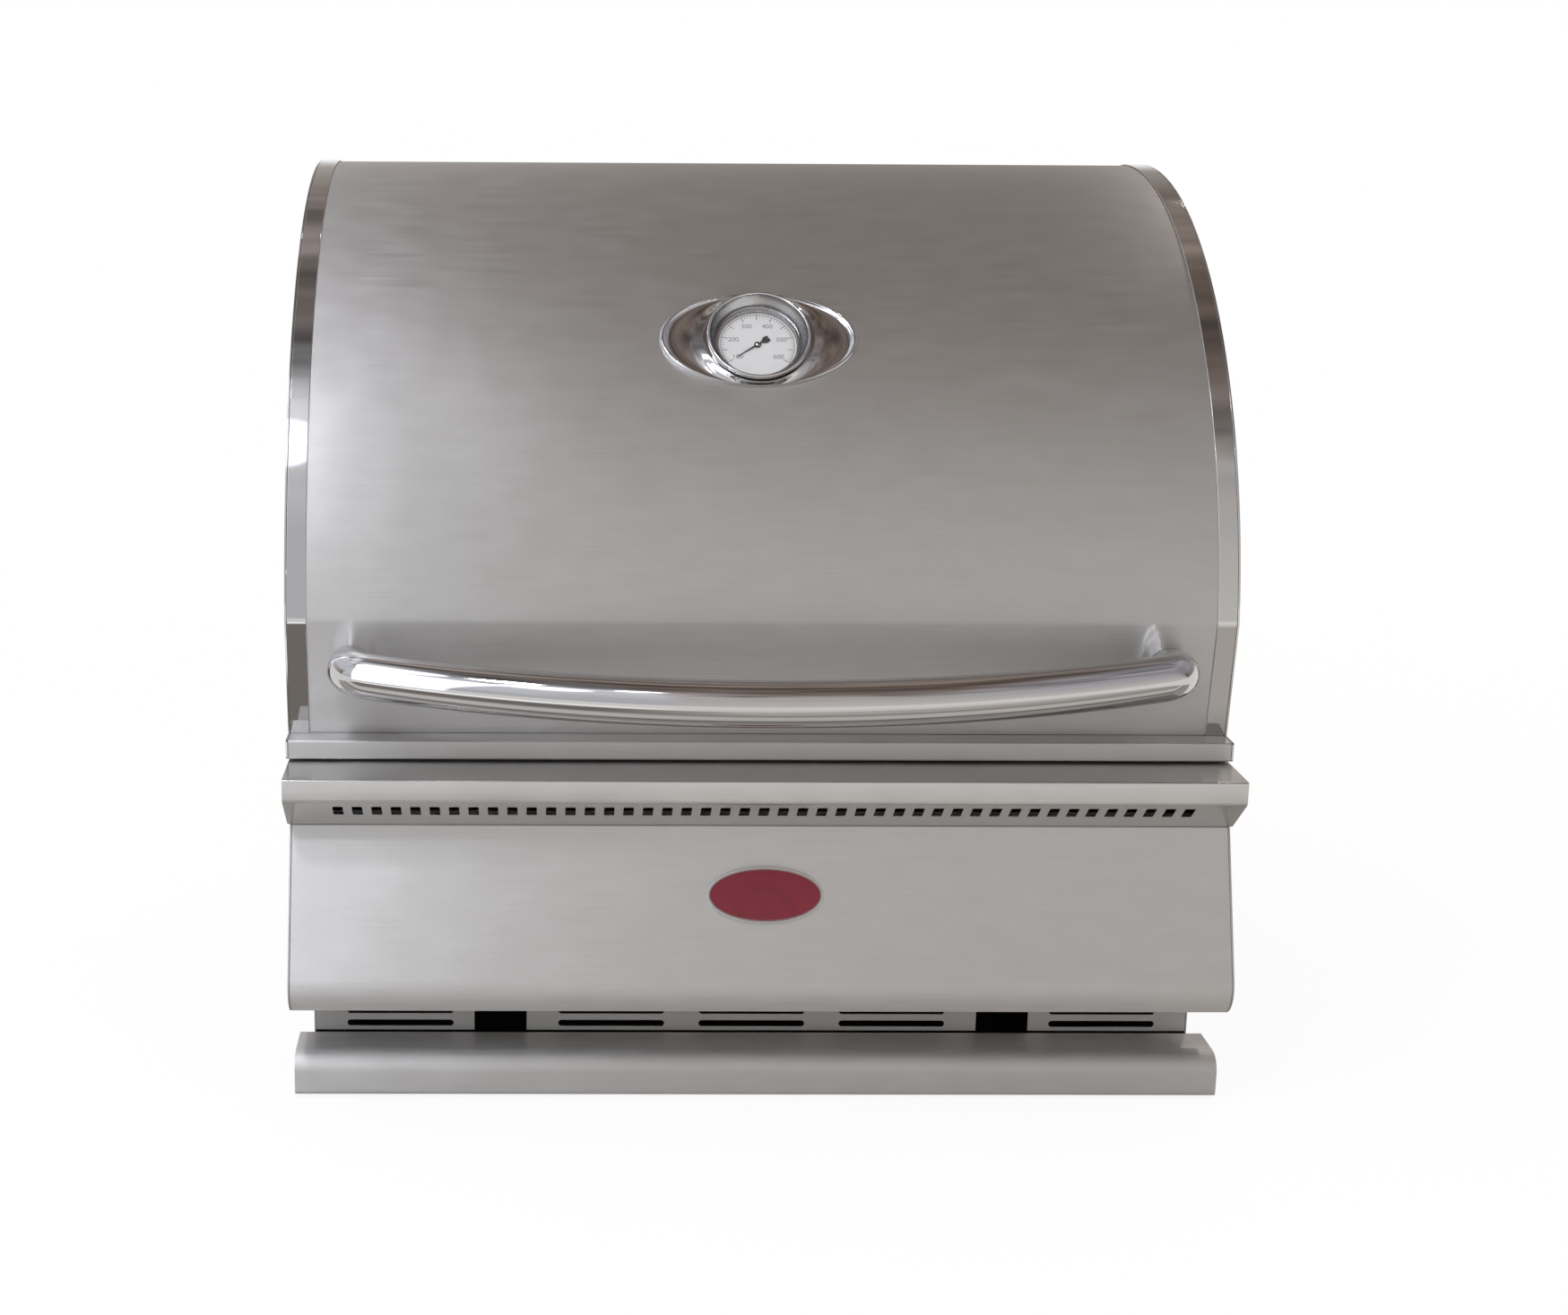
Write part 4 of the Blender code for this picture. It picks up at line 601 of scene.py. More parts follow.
def pierced(us, vs, openings, rings=3, notches=()):
    """Flat patches on the lines us and vs, without the openings (u, v, half width, half height, corner, margin)
    and without the notches (low u, high u, low v, high v), whose edges must be among the lines.
    A ring point is the block's edge point moved towards c + q + corner * unit(p - c - q), where q is p - c
    held within the half sizes less the corner."""
    us, vs = (np.unique(np.round(lines, 7)) for lines in (us, vs))
    flat = np.stack(np.meshgrid(us, vs), axis=-1)
    middle = (flat[1:, 1:] + flat[:-1, :-1]) / 2
    solid = np.ones(middle.shape[:2], bool)
    patches = []
    for u, v, half_u, half_v, corner, margin in openings:
        reach = np.array([half_u, half_v]) + margin
        centre = np.array([u, v])
        solid &= ~np.all(np.abs(middle - centre) < reach, axis=-1)
        bu = us[np.abs(us - u) < reach[0] + 1e-6]
        bv = vs[np.abs(vs - v) < reach[1] + 1e-6]
        edge = np.concatenate([
            np.stack([bu[:-1], np.full(len(bu) - 1, bv[0])], 1),
            np.stack([np.full(len(bv) - 1, bu[-1]), bv[:-1]], 1),
            np.stack([bu[:0:-1], np.full(len(bu) - 1, bv[-1])], 1),
            np.stack([np.full(len(bv) - 1, bu[0]), bv[:0:-1]], 1)])
        core = np.array([half_u, half_v]) - corner
        q = np.clip(edge - centre, -core, core)
        rim = centre + q + corner * unit(edge - centre - q)
        ring = edge + (rim - edge) * np.linspace(0, 1, rings + 1)[:, None, None]
        closed_ring = np.concatenate([ring, ring[:, :1]], axis=1)
        patches.append(net(at_level(closed_ring), closed_ring))
    for low_u, high_u, low_v, high_v in notches:
        solid &= ~((abs(middle[..., 0] - (low_u + high_u) / 2) < (high_u - low_u) / 2)
                   & (abs(middle[..., 1] - (low_v + high_v) / 2) < (high_v - low_v) / 2))
    points, quads, corners = net(at_level(flat), flat)
    keep = solid.reshape(-1)
    return [(points, quads[keep], corners[keep])] + patches


print("grid lines across one opening:", len(edge_lines(0, 0.01, 0.002, 0.005, 4)))


# %% Folding
def folded(patches, profile):
    """Bends flat patches along a side profile: X is U, and depth and height are read off at distance V."""
    along, line = lengths(profile), place(profile)
    bent = []
    for points, quads, corners in patches:
        y, z = (np.interp(points[:, 1], along, line[:, axis]) for axis in (0, 1))
        bent.append((np.stack([points[:, 0], y, z], axis=1), quads, corners))
    return bent


def swept(profile, low, high):
    """Patch of a profile carried from low to high X."""
    return folded(pierced([low, high], lengths(profile), []), profile)


print("a right angle carried across makes", len(swept([(0, 0), (1, 0), (1, 1)], 0, 1)[0][1]), "quads")

# %% [markdown]
# ## Hood skin
#
# One sheet is rolled over the front and folded at a crease above the handle. Its side line is a straight lower
# band, a crease, a large circle up to the crown, a smaller one behind it and an upright back. The line is
# worked out once and serves the skin and both edge trims. A round opening takes the gauge's cup.

# %% Side line of the hood
HOOD_FOOT, CREASE = np.array([0.078, 0.0183]), np.array([0.0645, 0.1175])
CREASE_REACH, BACK_FOOT = 0.0026, 0.050
CROWN_RADIUS, CROWN_START = 0.4058, 6.45
GAUGE_LEAN = math.radians(41.5)
lean = math.radians(CROWN_START)
crown_centre = CREASE + CROWN_RADIUS * np.array([math.cos(lean), -math.sin(lean)])
BACK_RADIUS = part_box("hood_skin")[1].y - FRONT_EDGE - crown_centre[0]
back_centre = crown_centre + (0, CROWN_RADIUS - BACK_RADIUS)


def hood_line(out=0.0):
    """Foot, rounded crease, crown and back, moved outwards by out along its normal."""
    crown = arc(crown_centre, CROWN_RADIUS, CROWN_START, 90, 110)
    back = arc(back_centre, BACK_RADIUS, 90, 180, 48)
    crease = rounded([HOOD_FOOT, crown[0], crown[1] + (crown[1] - crown[0]) * 0.01], CREASE_REACH)
    line = np.concatenate([crease[:-1], crown[2:], back[1:], [(back[-1][0], BACK_FOOT)]])
    way = unit(np.gradient(line, axis=0))
    return line + out * np.stack([-way[:, 1], way[:, 0]], axis=1)


line = hood_line()
along = lengths(line)
gauge_spot = crown_centre + CROWN_RADIUS * np.array([-math.cos(GAUGE_LEAN), math.sin(GAUGE_LEAN)])
gauge_v = along[np.argmin(np.linalg.norm(line - gauge_spot, axis=1))]
print("sheet length", round(along[-1], 3), "gauge at", round(gauge_v, 4), "radius behind", round(BACK_RADIUS, 4))

# %% Hood skin
CUP_HOLE, HOLE_MARGIN = 0.0418, 0.012
gap_lines = edge_lines(0, CUP_HOLE, CUP_HOLE, HOLE_MARGIN, 9)
us = np.concatenate([np.linspace(-SKIN_HALF, -0.06, 12), gap_lines, np.linspace(0.06, SKIN_HALF, 12)])
vs = np.concatenate([along[np.abs(along - gauge_v) > CUP_HOLE + HOLE_MARGIN + LINE_GAP], gauge_v + gap_lines])
blank = pierced(us, vs, [(0, gauge_v, CUP_HOLE, CUP_HOLE, CUP_HOLE, HOLE_MARGIN)])
skin = make_piece("hood_skin_sheet", folded(blank, line), "hood", ["hood_skin"],
                  [brushed, hood_inside], crease=60)
thicken(skin, inner_finish=1)

# %% Edge trims
TRIM_WIDTH, TRIM_SHEET = 0.016, 0.0012
trim_line = hood_line(out=FIT + TRIM_SHEET)
for side, sign in (("left", -1), ("right", 1)):
    ends = sorted((sign * (SKIN_HALF - TRIM_WIDTH), sign * SKIN_HALF))
    trim = make_piece(f"hood_edge_trim_{side}", swept(trim_line, *ends), "hood", [f"hood_trim_{side}"],
                      [polished], crease=60)
    thicken(trim, TRIM_SHEET, 0.0004)

# %% [markdown]
# ## Lip, vented rail, fascia and front wall
#
# Below the skin come four folded sheets. The lip closes the hood's foot. The rail is the front of the counter
# flange: a flat top, a low upright face and a slope with 45 short slots that let air in under the hood. The
# fascia leans out to a round nose. The front wall stands behind the finger gap, with two rows of air slots and
# two openings for lighting the charcoal.

# %% Lip
LIP_LOW, LIP_HIGH, LIP_FRONT, LIP_BACK = 0.0016, 0.018, 0.054, 0.0925
lip_corners = [(LIP_BACK, LIP_LOW), (LIP_FRONT, LIP_LOW), (LIP_FRONT, LIP_HIGH), (LIP_BACK, LIP_HIGH)]
lip = make_piece("hood_front_lip", swept(rounded(lip_corners, 0.0022), -SKIN_HALF, SKIN_HALF), "hood",
                 ["hood_lip"], [brushed], crease=60)
thicken(lip)

# %% Vented rail
SLOT_COUNT, SLOT_MARGIN = 45, 0.04425
SLOT_HALF, SLOT_CORNER, SLOT_EDGE = (0.00425, 0.0085), 0.0010, 0.0025
SLOPE_FOOT, SLOPE_TOP, RAIL_BACK = np.array([0.036, -0.049]), np.array([0, -0.019]), 0.097
rail_profile = rounded([SLOPE_FOOT, SLOPE_TOP, (0, 0), (RAIL_BACK, 0)], 0.0020)
rail_along = lengths(rail_profile)
slot_height = np.linalg.norm(SLOPE_FOOT - SLOPE_TOP) * 0.63  # a little above the slope's middle
slot_places = np.linspace(-HALF_FLANGE + SLOT_MARGIN, HALF_FLANGE - SLOT_MARGIN, SLOT_COUNT)
across = np.concatenate([edge_lines(x, SLOT_HALF[0], SLOT_CORNER, SLOT_EDGE, 4) for x in slot_places])
down = edge_lines(slot_height, SLOT_HALF[1], SLOT_CORNER, SLOT_EDGE, 4)
us = np.concatenate([[-HALF_FLANGE, HALF_FLANGE], across])
vs = np.concatenate([rail_along[np.abs(rail_along - slot_height) > SLOT_HALF[1] + SLOT_EDGE + LINE_GAP], down])
slots = [(x, slot_height, *SLOT_HALF, SLOT_CORNER, SLOT_EDGE) for x in slot_places]
rail = make_piece("vented_front_rail", folded(pierced(us, vs, slots), rail_profile), "base", ["vent_rail"],
                  [fine_brushed], crease=60)
thicken(rail, edge=0.0002)

# %% Fascia
NOSE_RADIUS, NOSE, NOSE_END = 0.0265, np.array([0.019, -0.1785]), -71.3
FASCIA_HALF, FASCIA_BACK = 0.3897, 0.070
fascia_top = SLOPE_FOOT - (0, FIT)
rise = fascia_top - NOSE
fascia_lean = math.atan2(rise[0], rise[1]) + math.asin(NOSE_RADIUS / math.hypot(*rise))
nose = arc(NOSE, NOSE_RADIUS, NOSE_END, math.degrees(fascia_lean), 40)
fascia_bend = rounded([nose[-1], fascia_top, (FASCIA_BACK, fascia_top[1])], 0.0015)
fascia = make_piece("leaning_fascia", swept(np.concatenate([nose, fascia_bend[1:]]), -FASCIA_HALF, FASCIA_HALF),
                    "base", ["fascia"], [coarse_brushed_painted_lighter], crease=60)
thicken(fascia)
print("fascia leans", round(math.degrees(fascia_lean), 2), "degrees")

# %% Front wall
wall_low, wall_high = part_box("front_wall")
BODY_WIDTH, PORT_HALF = 0.756, 0.0225
AIR_HALF, AIR_CORNER, AIR_EDGE = (0.04575, 0.00275), 0.0027, 0.0024
slot_rows = wall_low.z + 0.0065 + np.array([0, 0.0115])
# Places across are shares of the body's width, and the two ports are open at the wall's foot.
port_top = slot_rows[0] - AIR_HALF[1] + 2 * PORT_HALF
openings = [(BODY_WIDTH * s, z, *AIR_HALF, AIR_CORNER, AIR_EDGE) for z in slot_rows
            for s in (-0.4015, -0.1606, 0, 0.1606, 0.4015)]
ports = [(BODY_WIDTH * s - PORT_HALF, BODY_WIDTH * s + PORT_HALF, wall_low.z, port_top) for s in (-0.2872, 0.2872)]
us, vs = ([edge_lines(o[axis], AIR_HALF[axis], AIR_CORNER, AIR_EDGE, 6) for o in openings] for axis in (0, 1))
us = np.concatenate([[wall_low.x, wall_high.x], *us, *(port[:2] for port in ports)])
vs = np.concatenate([[wall_low.z, wall_high.z, port_top], *vs])
blank = [(np.stack([p[:, 0], np.full(len(p), wall_low.y), p[:, 1]], axis=1), q, c)
         for p, q, c in pierced(us, vs, openings, notches=ports)]
wall = make_piece("slotted_front_wall", blank, "base", ["front_wall"], [brushed])
thicken(wall, edge=0.0002)

# %% [markdown]
# ## Ash tray's front
#
# The ash tray is pulled out by a hollow rail: a sheet folded over a broad round top edge, with its ends closed.
# The profile is carried across, and each end is a fan of quads from the profile straight back to the open side.

# %% Ash tray's front rail
tray_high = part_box("ash_tray_front")[1]
TRAY_BACK, TRAY_TOP, TRAY_FOOT = 0.0705, -0.248, -0.2836
# From the back along the foot, round a small bend, up the front and over the broad top edge to the back.
front_line = np.concatenate([
    [(TRAY_BACK, TRAY_FOOT)], arc((0.023, -0.2796), 0.004, -90, 0, 8), arc((0.034, -0.263), 0.015, 0, 90, 20),
    [(TRAY_BACK, TRAY_TOP)]])
patches = swept(front_line, -tray_high.x, tray_high.x)
side_yz = place(front_line)
reach_back = np.stack([np.full(len(side_yz), tray_high.y), side_yz[:, 1]], axis=1)
for sign in (-1, 1):
    pair = np.stack([side_yz, reach_back], axis=1)[:, ::sign]
    end = np.concatenate([np.full(pair.shape[:2] + (1,), sign * tray_high.x), pair], axis=2)
    patches.append(net(end, pair))
tray_rail = make_piece("ash_tray_front_rail", patches, "ash_drawer", ["ash_tray_front"],
                       [coarse_brushed_painted_lighter], crease=40)
soften(tray_rail, 0.0012, 3)
thicken(tray_rail)

# %% [markdown]
# ## Handle
#
# The handle is a polished tube of 38 mm. Two short posts leave the hood, turn through tight bends and run into
# one long bow. The centre line lies in a plane, so every circle of the tube uses the same upright direction and
# the tube can't twist. Rings that shrink to a point close both ends.

# %% Handle's centre line
POST_X, BEND_RADIUS, BEND_OUT, STAND_OFF = 0.341, 0.028, 0.018, 0.100
POST_RISE, HANDLE_HEIGHT = math.radians(18), 0.0865
band = unit(CREASE - HOOD_FOOT)
band_out = np.array([-band[1], band[0]])
handle_spot = HOOD_FOOT + band * (HANDLE_HEIGHT - HOOD_FOOT[1]) / band[1]
bend_x, bow_rise = POST_X - BEND_RADIUS, STAND_OFF - BEND_OUT
bow_radius = (bend_x ** 2 + bow_rise ** 2 - BEND_RADIUS ** 2) / (2 * (bow_rise - BEND_RADIUS))
bow_centre = STAND_OFF - bow_radius
bend_turn = math.atan2(BEND_OUT - bow_centre, bend_x)
bend = np.linspace(0, bend_turn, 25)
bow = np.linspace(bend_turn, math.pi - bend_turn, 97)[1:-1]
right_half = np.concatenate([
    [(POST_X, FIT), (POST_X, BEND_OUT / 2)],
    np.stack([bend_x + BEND_RADIUS * np.cos(bend), BEND_OUT + BEND_RADIUS * np.sin(bend)], 1)])
path = np.concatenate([right_half, np.stack([bow_radius * np.cos(bow), bow_centre + bow_radius * np.sin(bow)], 1),
                       right_half[::-1] * (-1, 1)])
print("bow radius", round(bow_radius, 3))

# %% Handle tube
TUBE_RADIUS = 0.01905


def lift(away):
    """Height of the centre line up the band. Below the bends it falls straight, by the tangent of the posts'
    rise, and within the bends a parabola levels it off."""
    left = np.clip(BEND_OUT + BEND_RADIUS - away, 0, None)
    run = np.where(left < BEND_RADIUS, left ** 2 / (2 * BEND_RADIUS), left - BEND_RADIUS / 2)
    return -run * math.tan(POST_RISE)


def tube(path, radius, sides=72):
    """Circles round a path (x, away from the hood) with its lift. Each point is the centre plus radius times
    (cos a * side way + sin a * upright way). The end rings are slid along the tube onto the hood's face, and
    one more ring at each end shrinks to their centre."""
    out, up = np.array([0, *band_out]), np.array([0, *band])
    spot = np.array([0, *place(handle_spot)])
    centre = spot + path[:, :1] * (1, 0, 0) + path[:, 1:] * out + lift(path[:, 1:]) * up
    way = np.gradient(centre, axis=0)
    way[[0, -1]] = centre[1] - centre[0], centre[-1] - centre[-2]
    way = unit(way)
    side = unit(np.cross(way, up))
    angle = round_turn(sides)[None, :, None]
    ring = radius * (np.cos(angle) * side[:, None] + np.sin(angle) * np.cross(side, way)[:, None])
    for end in (0, -1):
        ring[end] -= (ring[end] @ out)[:, None] / (way[end] @ out) * way[end]
    ring, centre = (np.concatenate([a[:1], a, a[-1:]]) for a in (ring, centre))
    ring[[0, -1]] = 0
    u, v = np.meshgrid(lengths(centre), np.linspace(0, 2 * math.pi * radius, sides + 1), indexing="ij")
    return net(centre[:, None] + ring, np.stack([u, v], axis=-1), wrap=True)


make_piece("bowed_handle_tube", [tube(path, TUBE_RADIUS)], "hood", ["handle_tube"],
           [polished], closed=True)

# %% [markdown]
# ## Gauge
#
# The gauge looks like a headlamp: an oval plate follows the crown, a round bezel stands on it, and the dial
# lies at the bottom of a satin cup behind a pane of glass. Everything here is worked out in the gauge's own
# frame (across, up the dial, out of the hood), then tilted by the crown's angle and put on its spot. Round
# parts are turned: a profile of (radius, level) pairs goes round the axis.

# %% Frame of the gauge, and turning
DIAL_FACE = -0.0077
gauge_origin = np.array([0, *place(gauge_spot)])


def carried(points, origin, lean):
    """World place of points (across, up, out) on a face that leans back: from the origin, across runs to the
    right, up along the face and out straight away from it."""
    up, out = np.array([0, math.sin(lean), math.cos(lean)]), np.array([0, -math.cos(lean), math.sin(lean)])
    return origin + points[..., :1] * (1, 0, 0) + points[..., 1:2] * up + points[..., 2:] * out


def on_gauge(points):
    """World place of points (across, up the dial, out of the hood)."""
    return carried(points, gauge_origin, GAUGE_LEAN)


def turned(profile, sides=120):
    """Closed profile of (radius, level) pairs that goes once round the gauge's axis."""
    profile = np.concatenate([profile, profile[:1]])
    angle = round_turn(sides)
    radius, level = profile[:, :1], profile[:, 1:]
    points = at_level(np.stack([radius * np.cos(angle), radius * np.sin(angle)], axis=-1), level)
    u, v = np.meshgrid(lengths(profile), np.linspace(0, 0.2, sides + 1), indexing="ij")
    return net(on_gauge(points), np.stack([v, u], axis=-1), wrap=True)


print("gauge at", gauge_origin.round(4).tolist())

# %% Oval plate
HALF_PLATE, COLLAR_RADIUS = (0.084, 0.0471), 0.0455
# Rows from the outer foot over the bead into the dish, up to the collar and back underneath. Each is
# (share of the way in from the oval's edge to the collar, height over the crown, how far the height is level).
rows = np.array([(0.0, -0.0002, 0), (0.0, 0.0020, 0), (0.012, 0.0030, 0), (0.035, 0.0038, 0), (0.065, 0.0040, 0),
                 (0.095, 0.0036, 0), (0.12, 0.0026, 0), (0.15, 0.0019, 0), (0.25, 0.0015, 0), (0.45, 0.0016, 0),
                 (0.65, 0.0020, 0.2), (0.80, 0.0027, 0.5), (0.92, 0.0036, 0.85), (1.0, 0.0040, 1), (1.06, 0.0040, 1),
                 (1.06, 0.0024, 1), (0.9, 0.0012, 0.6), (0.4, 0.0002, 0), (0.0, -0.0002, 0)])
angle = round_turn(144)
oval = np.stack([HALF_PLATE[0] * np.cos(angle), HALF_PLATE[1] * np.sin(angle)], axis=1)
flat = oval + (COLLAR_RADIUS * unit(oval) - oval) * rows[:, :1, None]
drop = -flat[..., 1] ** 2 / (2 * CROWN_RADIUS)
points = at_level(flat, rows[:, 1, None] + drop * (1 - rows[:, 2, None]))
u, v = np.meshgrid(lengths(rows[:, :2] * (0.03, 1)), np.linspace(0, 0.4, 145), indexing="ij")
make_piece("gauge_oval_plate", [net(on_gauge(points), np.stack([v, u], -1), wrap=True)], "hood", ["gauge_plate"],
           [polished], closed=True, crease=50)

# %% Bezel and cup
CUP_EDGE, CUP_FLOOR = 0.0413, -0.0090  # the satin part lies within this radius and above this level
bezel_bead = np.array([
    (0.0440, 0.0043), (0.0440, 0.0077), (0.0438, 0.0086), (0.0433, 0.0091), (0.0427, 0.0093), (0.0421, 0.0091),
    (0.0416, 0.0086), (0.0414, 0.0078)])
cup_wall = np.array([(0.0411, 0.0068), (0.0396, 0.0042), (0.0376, 0.0010), (0.0364, -0.0010), (0.0362, -0.0033),
                     (0.0338, -0.0033), (0.0338, -0.0088)])
cup_back = np.array([(0.0015, -0.0088), (0.0015, -0.0112), (0.0415, -0.0112), (0.0415, 0.0043)])
case = make_piece("gauge_bezel_and_cup", [turned(np.concatenate([bezel_bead, cup_wall, cup_back]))], "hood",
                  ["gauge_case"], [polished, satin], closed=True, crease=45)
middles = np.array([p.center for p in case.data.polygons]) - gauge_origin
middle_up, middle_out = (middles @ carried(np.array(way), np.zeros(3), GAUGE_LEAN) for way in ((0, 1, 0), (0, 0, 1)))
cup_faces = (np.hypot(middles[:, 0], middle_up) < CUP_EDGE) & (middle_out > CUP_FLOOR)
case.data.polygons.foreach_set("material_index", cup_faces.astype(np.int32))
print("satin faces", int(cup_faces.sum()))

# %% [markdown]
# ## Dial, pointer and pane
#
# The dial is a lacquered disc with a printed scale. The scale here is generic: fine and coarse marks over 250
# degrees and plain numbers. Marks are placed by angle, all in one array, and each number is a text made into
# mesh. The pointer is a tapered blade with a counterweight, on a hub whose arbor runs into the cup. It rides on
# its own body, so it turns with the needle's joint, and a small polished cap on the hub turns with it.

# %% Dial
make_piece("gauge_dial_disc", [turned(np.array([
    (0.0015, DIAL_FACE), (0.0335, DIAL_FACE), (0.0335, DIAL_FACE - 0.0008), (0.0015, DIAL_FACE - 0.0008)]))],
    "hood", ["gauge_dial"], [dial_white], closed=True)

# %% Printed scale
PRINT_LEVEL = DIAL_FACE + 0.00012
SCALE_START, SCALE_SWEEP, LAST_MARK = 215, 250, 50
SCALE_RADIUS, RING_WIDTH = 0.0312, 0.0005
steps = np.arange(LAST_MARK + 1)
mark_angle = np.radians(SCALE_START - SCALE_SWEEP * steps / LAST_MARK)
coarse = steps % 5 == 0
mark_in, mark_out = np.where(coarse, 0.0262, 0.0288), np.full(len(steps), SCALE_RADIUS)
mark_half = np.where(coarse, 0.00040, 0.00018)
corner_r = np.stack([mark_in, mark_in, mark_out, mark_out], axis=1)
corner_s = np.stack([-mark_half, mark_half, mark_half, -mark_half], axis=1)
cos_a, sin_a = np.cos(mark_angle)[:, None], np.sin(mark_angle)[:, None]
marks = at_level(np.stack([corner_r * cos_a - corner_s * sin_a, corner_r * sin_a + corner_s * cos_a], axis=-1),
                 PRINT_LEVEL).reshape(-1, 3)
quads = np.arange(len(marks)).reshape(-1, 4)[:, ::-1]
ring_angle = np.radians(np.linspace(SCALE_START, SCALE_START - SCALE_SWEEP, 81))
ring_radius = np.array([[SCALE_RADIUS], [SCALE_RADIUS + RING_WIDTH]])
ring = np.stack([ring_radius * np.cos(ring_angle), ring_radius * np.sin(ring_angle)], axis=-1)
scale = make_piece("gauge_scale_print", [(on_gauge(marks), quads, marks[quads][..., :2]),
                                         net(on_gauge(at_level(ring, PRINT_LEVEL)), ring)],
                   "hood", [], [dial_print])
thicken(scale, 0.00008, 0.00001)
print("marks", len(steps), "of which coarse", int(coarse.sum()))

# %% Numbers
NUMBER_RADIUS, NUMBER_SIZE = 0.0212, 0.0062


def flat_text(body, size):
    """Points and faces of a word, centred on the origin."""
    words = bpy.data.curves.new("number", "FONT")
    words.body, words.size, words.align_x, words.align_y = body, size, "CENTER", "CENTER"
    holder = put("number", words)
    mesh = bpy.data.meshes.new_from_object(holder.evaluated_get(bpy.context.evaluated_depsgraph_get()))
    bpy.data.objects.remove(holder)
    return np.array([v.co for v in mesh.vertices])[:, :2], [tuple(p.vertices) for p in mesh.polygons]


number_points, number_faces = np.zeros((0, 2)), []
for index in range(0, LAST_MARK + 1, 10):
    word_points, word_faces = flat_text(str(100 + index * 10), NUMBER_SIZE)
    spot = NUMBER_RADIUS * np.array([math.cos(mark_angle[index]), math.sin(mark_angle[index])])
    number_faces += [tuple(i + len(number_points) for i in face) for face in word_faces]
    number_points = np.concatenate([number_points, word_points + spot])
mesh = bpy.data.meshes.new("gauge_numbers")
mesh.from_pydata(on_gauge(at_level(number_points, PRINT_LEVEL)).tolist(), [], number_faces)
mesh.uv_layers.new(name="grain")
mesh.materials.append(dial_print)
numbers = put("gauge_numbers", mesh)
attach(numbers, "hood")
print("numbers", len(number_faces), "faces")

# %% Pointer
HUB_LOW, ARBOR_END = DIAL_FACE + 0.0003, -0.0109
HUB_TOP, BLADE_MIDDLE, BLADE_HALF = HUB_LOW + 0.0016, HUB_LOW + 0.0008, 0.0003


def blade(outline, middle, half):
    """Flat blade from an outline of left and right points down its length, thinned towards its edges. It points
    to the scale's start."""
    along, width = np.array(outline).T
    rows = [(1, -half), (1, 0), (0, half), (-1, 0), (-1, -half), (0, -half), (1, -half)]
    points = np.stack([at_level(np.stack([along, width * side], axis=1), middle + level) for side, level in rows])
    c, s = math.cos(mark_angle[0]), math.sin(mark_angle[0])
    turned_to = np.stack([points[..., 0] * c - points[..., 1] * s, points[..., 0] * s + points[..., 1] * c], axis=-1)
    return net(on_gauge(at_level(turned_to, points[..., 2])), points[..., :2])


hub = np.array([(0.0, HUB_TOP), (0.0018, HUB_TOP), (0.0026, HUB_TOP - 0.0003), (0.0030, HUB_TOP - 0.0009),
                (0.0030, HUB_LOW), (0.0012, HUB_LOW), (0.0012, ARBOR_END), (0.0, ARBOR_END)])
pointer = [(-0.0118, 0.0), (-0.0118, 0.0030), (-0.0080, 0.0032), (-0.0042, 0.0008), (0.0, 0.0009), (0.010, 0.0006),
           (0.0205, 0.0003), (0.022, 0.0)]
make_piece("gauge_pointer", [turned(hub, 48), blade(pointer, BLADE_MIDDLE, BLADE_HALF)], "needle", ["gauge_needle"],
           [pointer_lacquer], closed=True)
cap = np.array([(0.0, 0.0007), (0.0010, 0.0006), (0.0018, 0.0003), (0.0021, 0.0001), (0.0, 0.0001)]) + (0, HUB_TOP)
make_piece("gauge_hub_cap", [turned(cap, 48)], "needle", [], [polished], closed=True)

# %% Pane
LENS_LOW, LENS_TOP = DIAL_FACE + 0.0047, DIAL_FACE + 0.0062
make_piece("gauge_pane", [turned(np.array([
    (0.0, LENS_LOW), (0.0359, LENS_LOW), (0.0359, LENS_TOP - 0.0003), (0.0356, LENS_TOP), (0.0, LENS_TOP)]))],
    "hood", ["gauge_lens"], [glass], closed=True)

# %% [markdown]
# ## Badge
#
# The fascia carries a small oval badge. Its bright rim is a rounded bead round a shallow pocket, and the pocket
# is filled with deep red enamel that bulges slightly, as fired glass does. The badge is left bare. Both
# pieces are stacks of ovals: each row has an inset from the outer oval, a scale towards the middle and a level.

# %% Badge rim and enamel
BADGE_HALF, BADGE_X = (0.0483, 0.0235), 0.003
drop = (SLOPE_FOOT[1] - NOSE[1]) * 0.42  # share of the way down from the fascia's top to its nose
badge_spot = SLOPE_FOOT - drop * np.array([math.tan(fascia_lean), 1])
badge_spot += FIT * np.array([-math.cos(fascia_lean), math.sin(fascia_lean)])
badge_origin = np.array([BADGE_X, *place(badge_spot)])


def ovals(rows, sides=128):
    """Stack of ovals from rows of (inset, scale, level), carried to the fascia."""
    inset, scale, level = np.array(rows, float).T[..., None]
    x, y = ((BADGE_HALF[axis] - inset) * scale * way(round_turn(sides)) for axis, way in enumerate((np.cos, np.sin)))
    grain = np.stack([np.concatenate([a, a[:, :1]], axis=1) for a in (x, y)], axis=-1)
    return net(carried(at_level(np.stack([x, y], axis=-1), level), badge_origin, fascia_lean), grain, wrap=True)


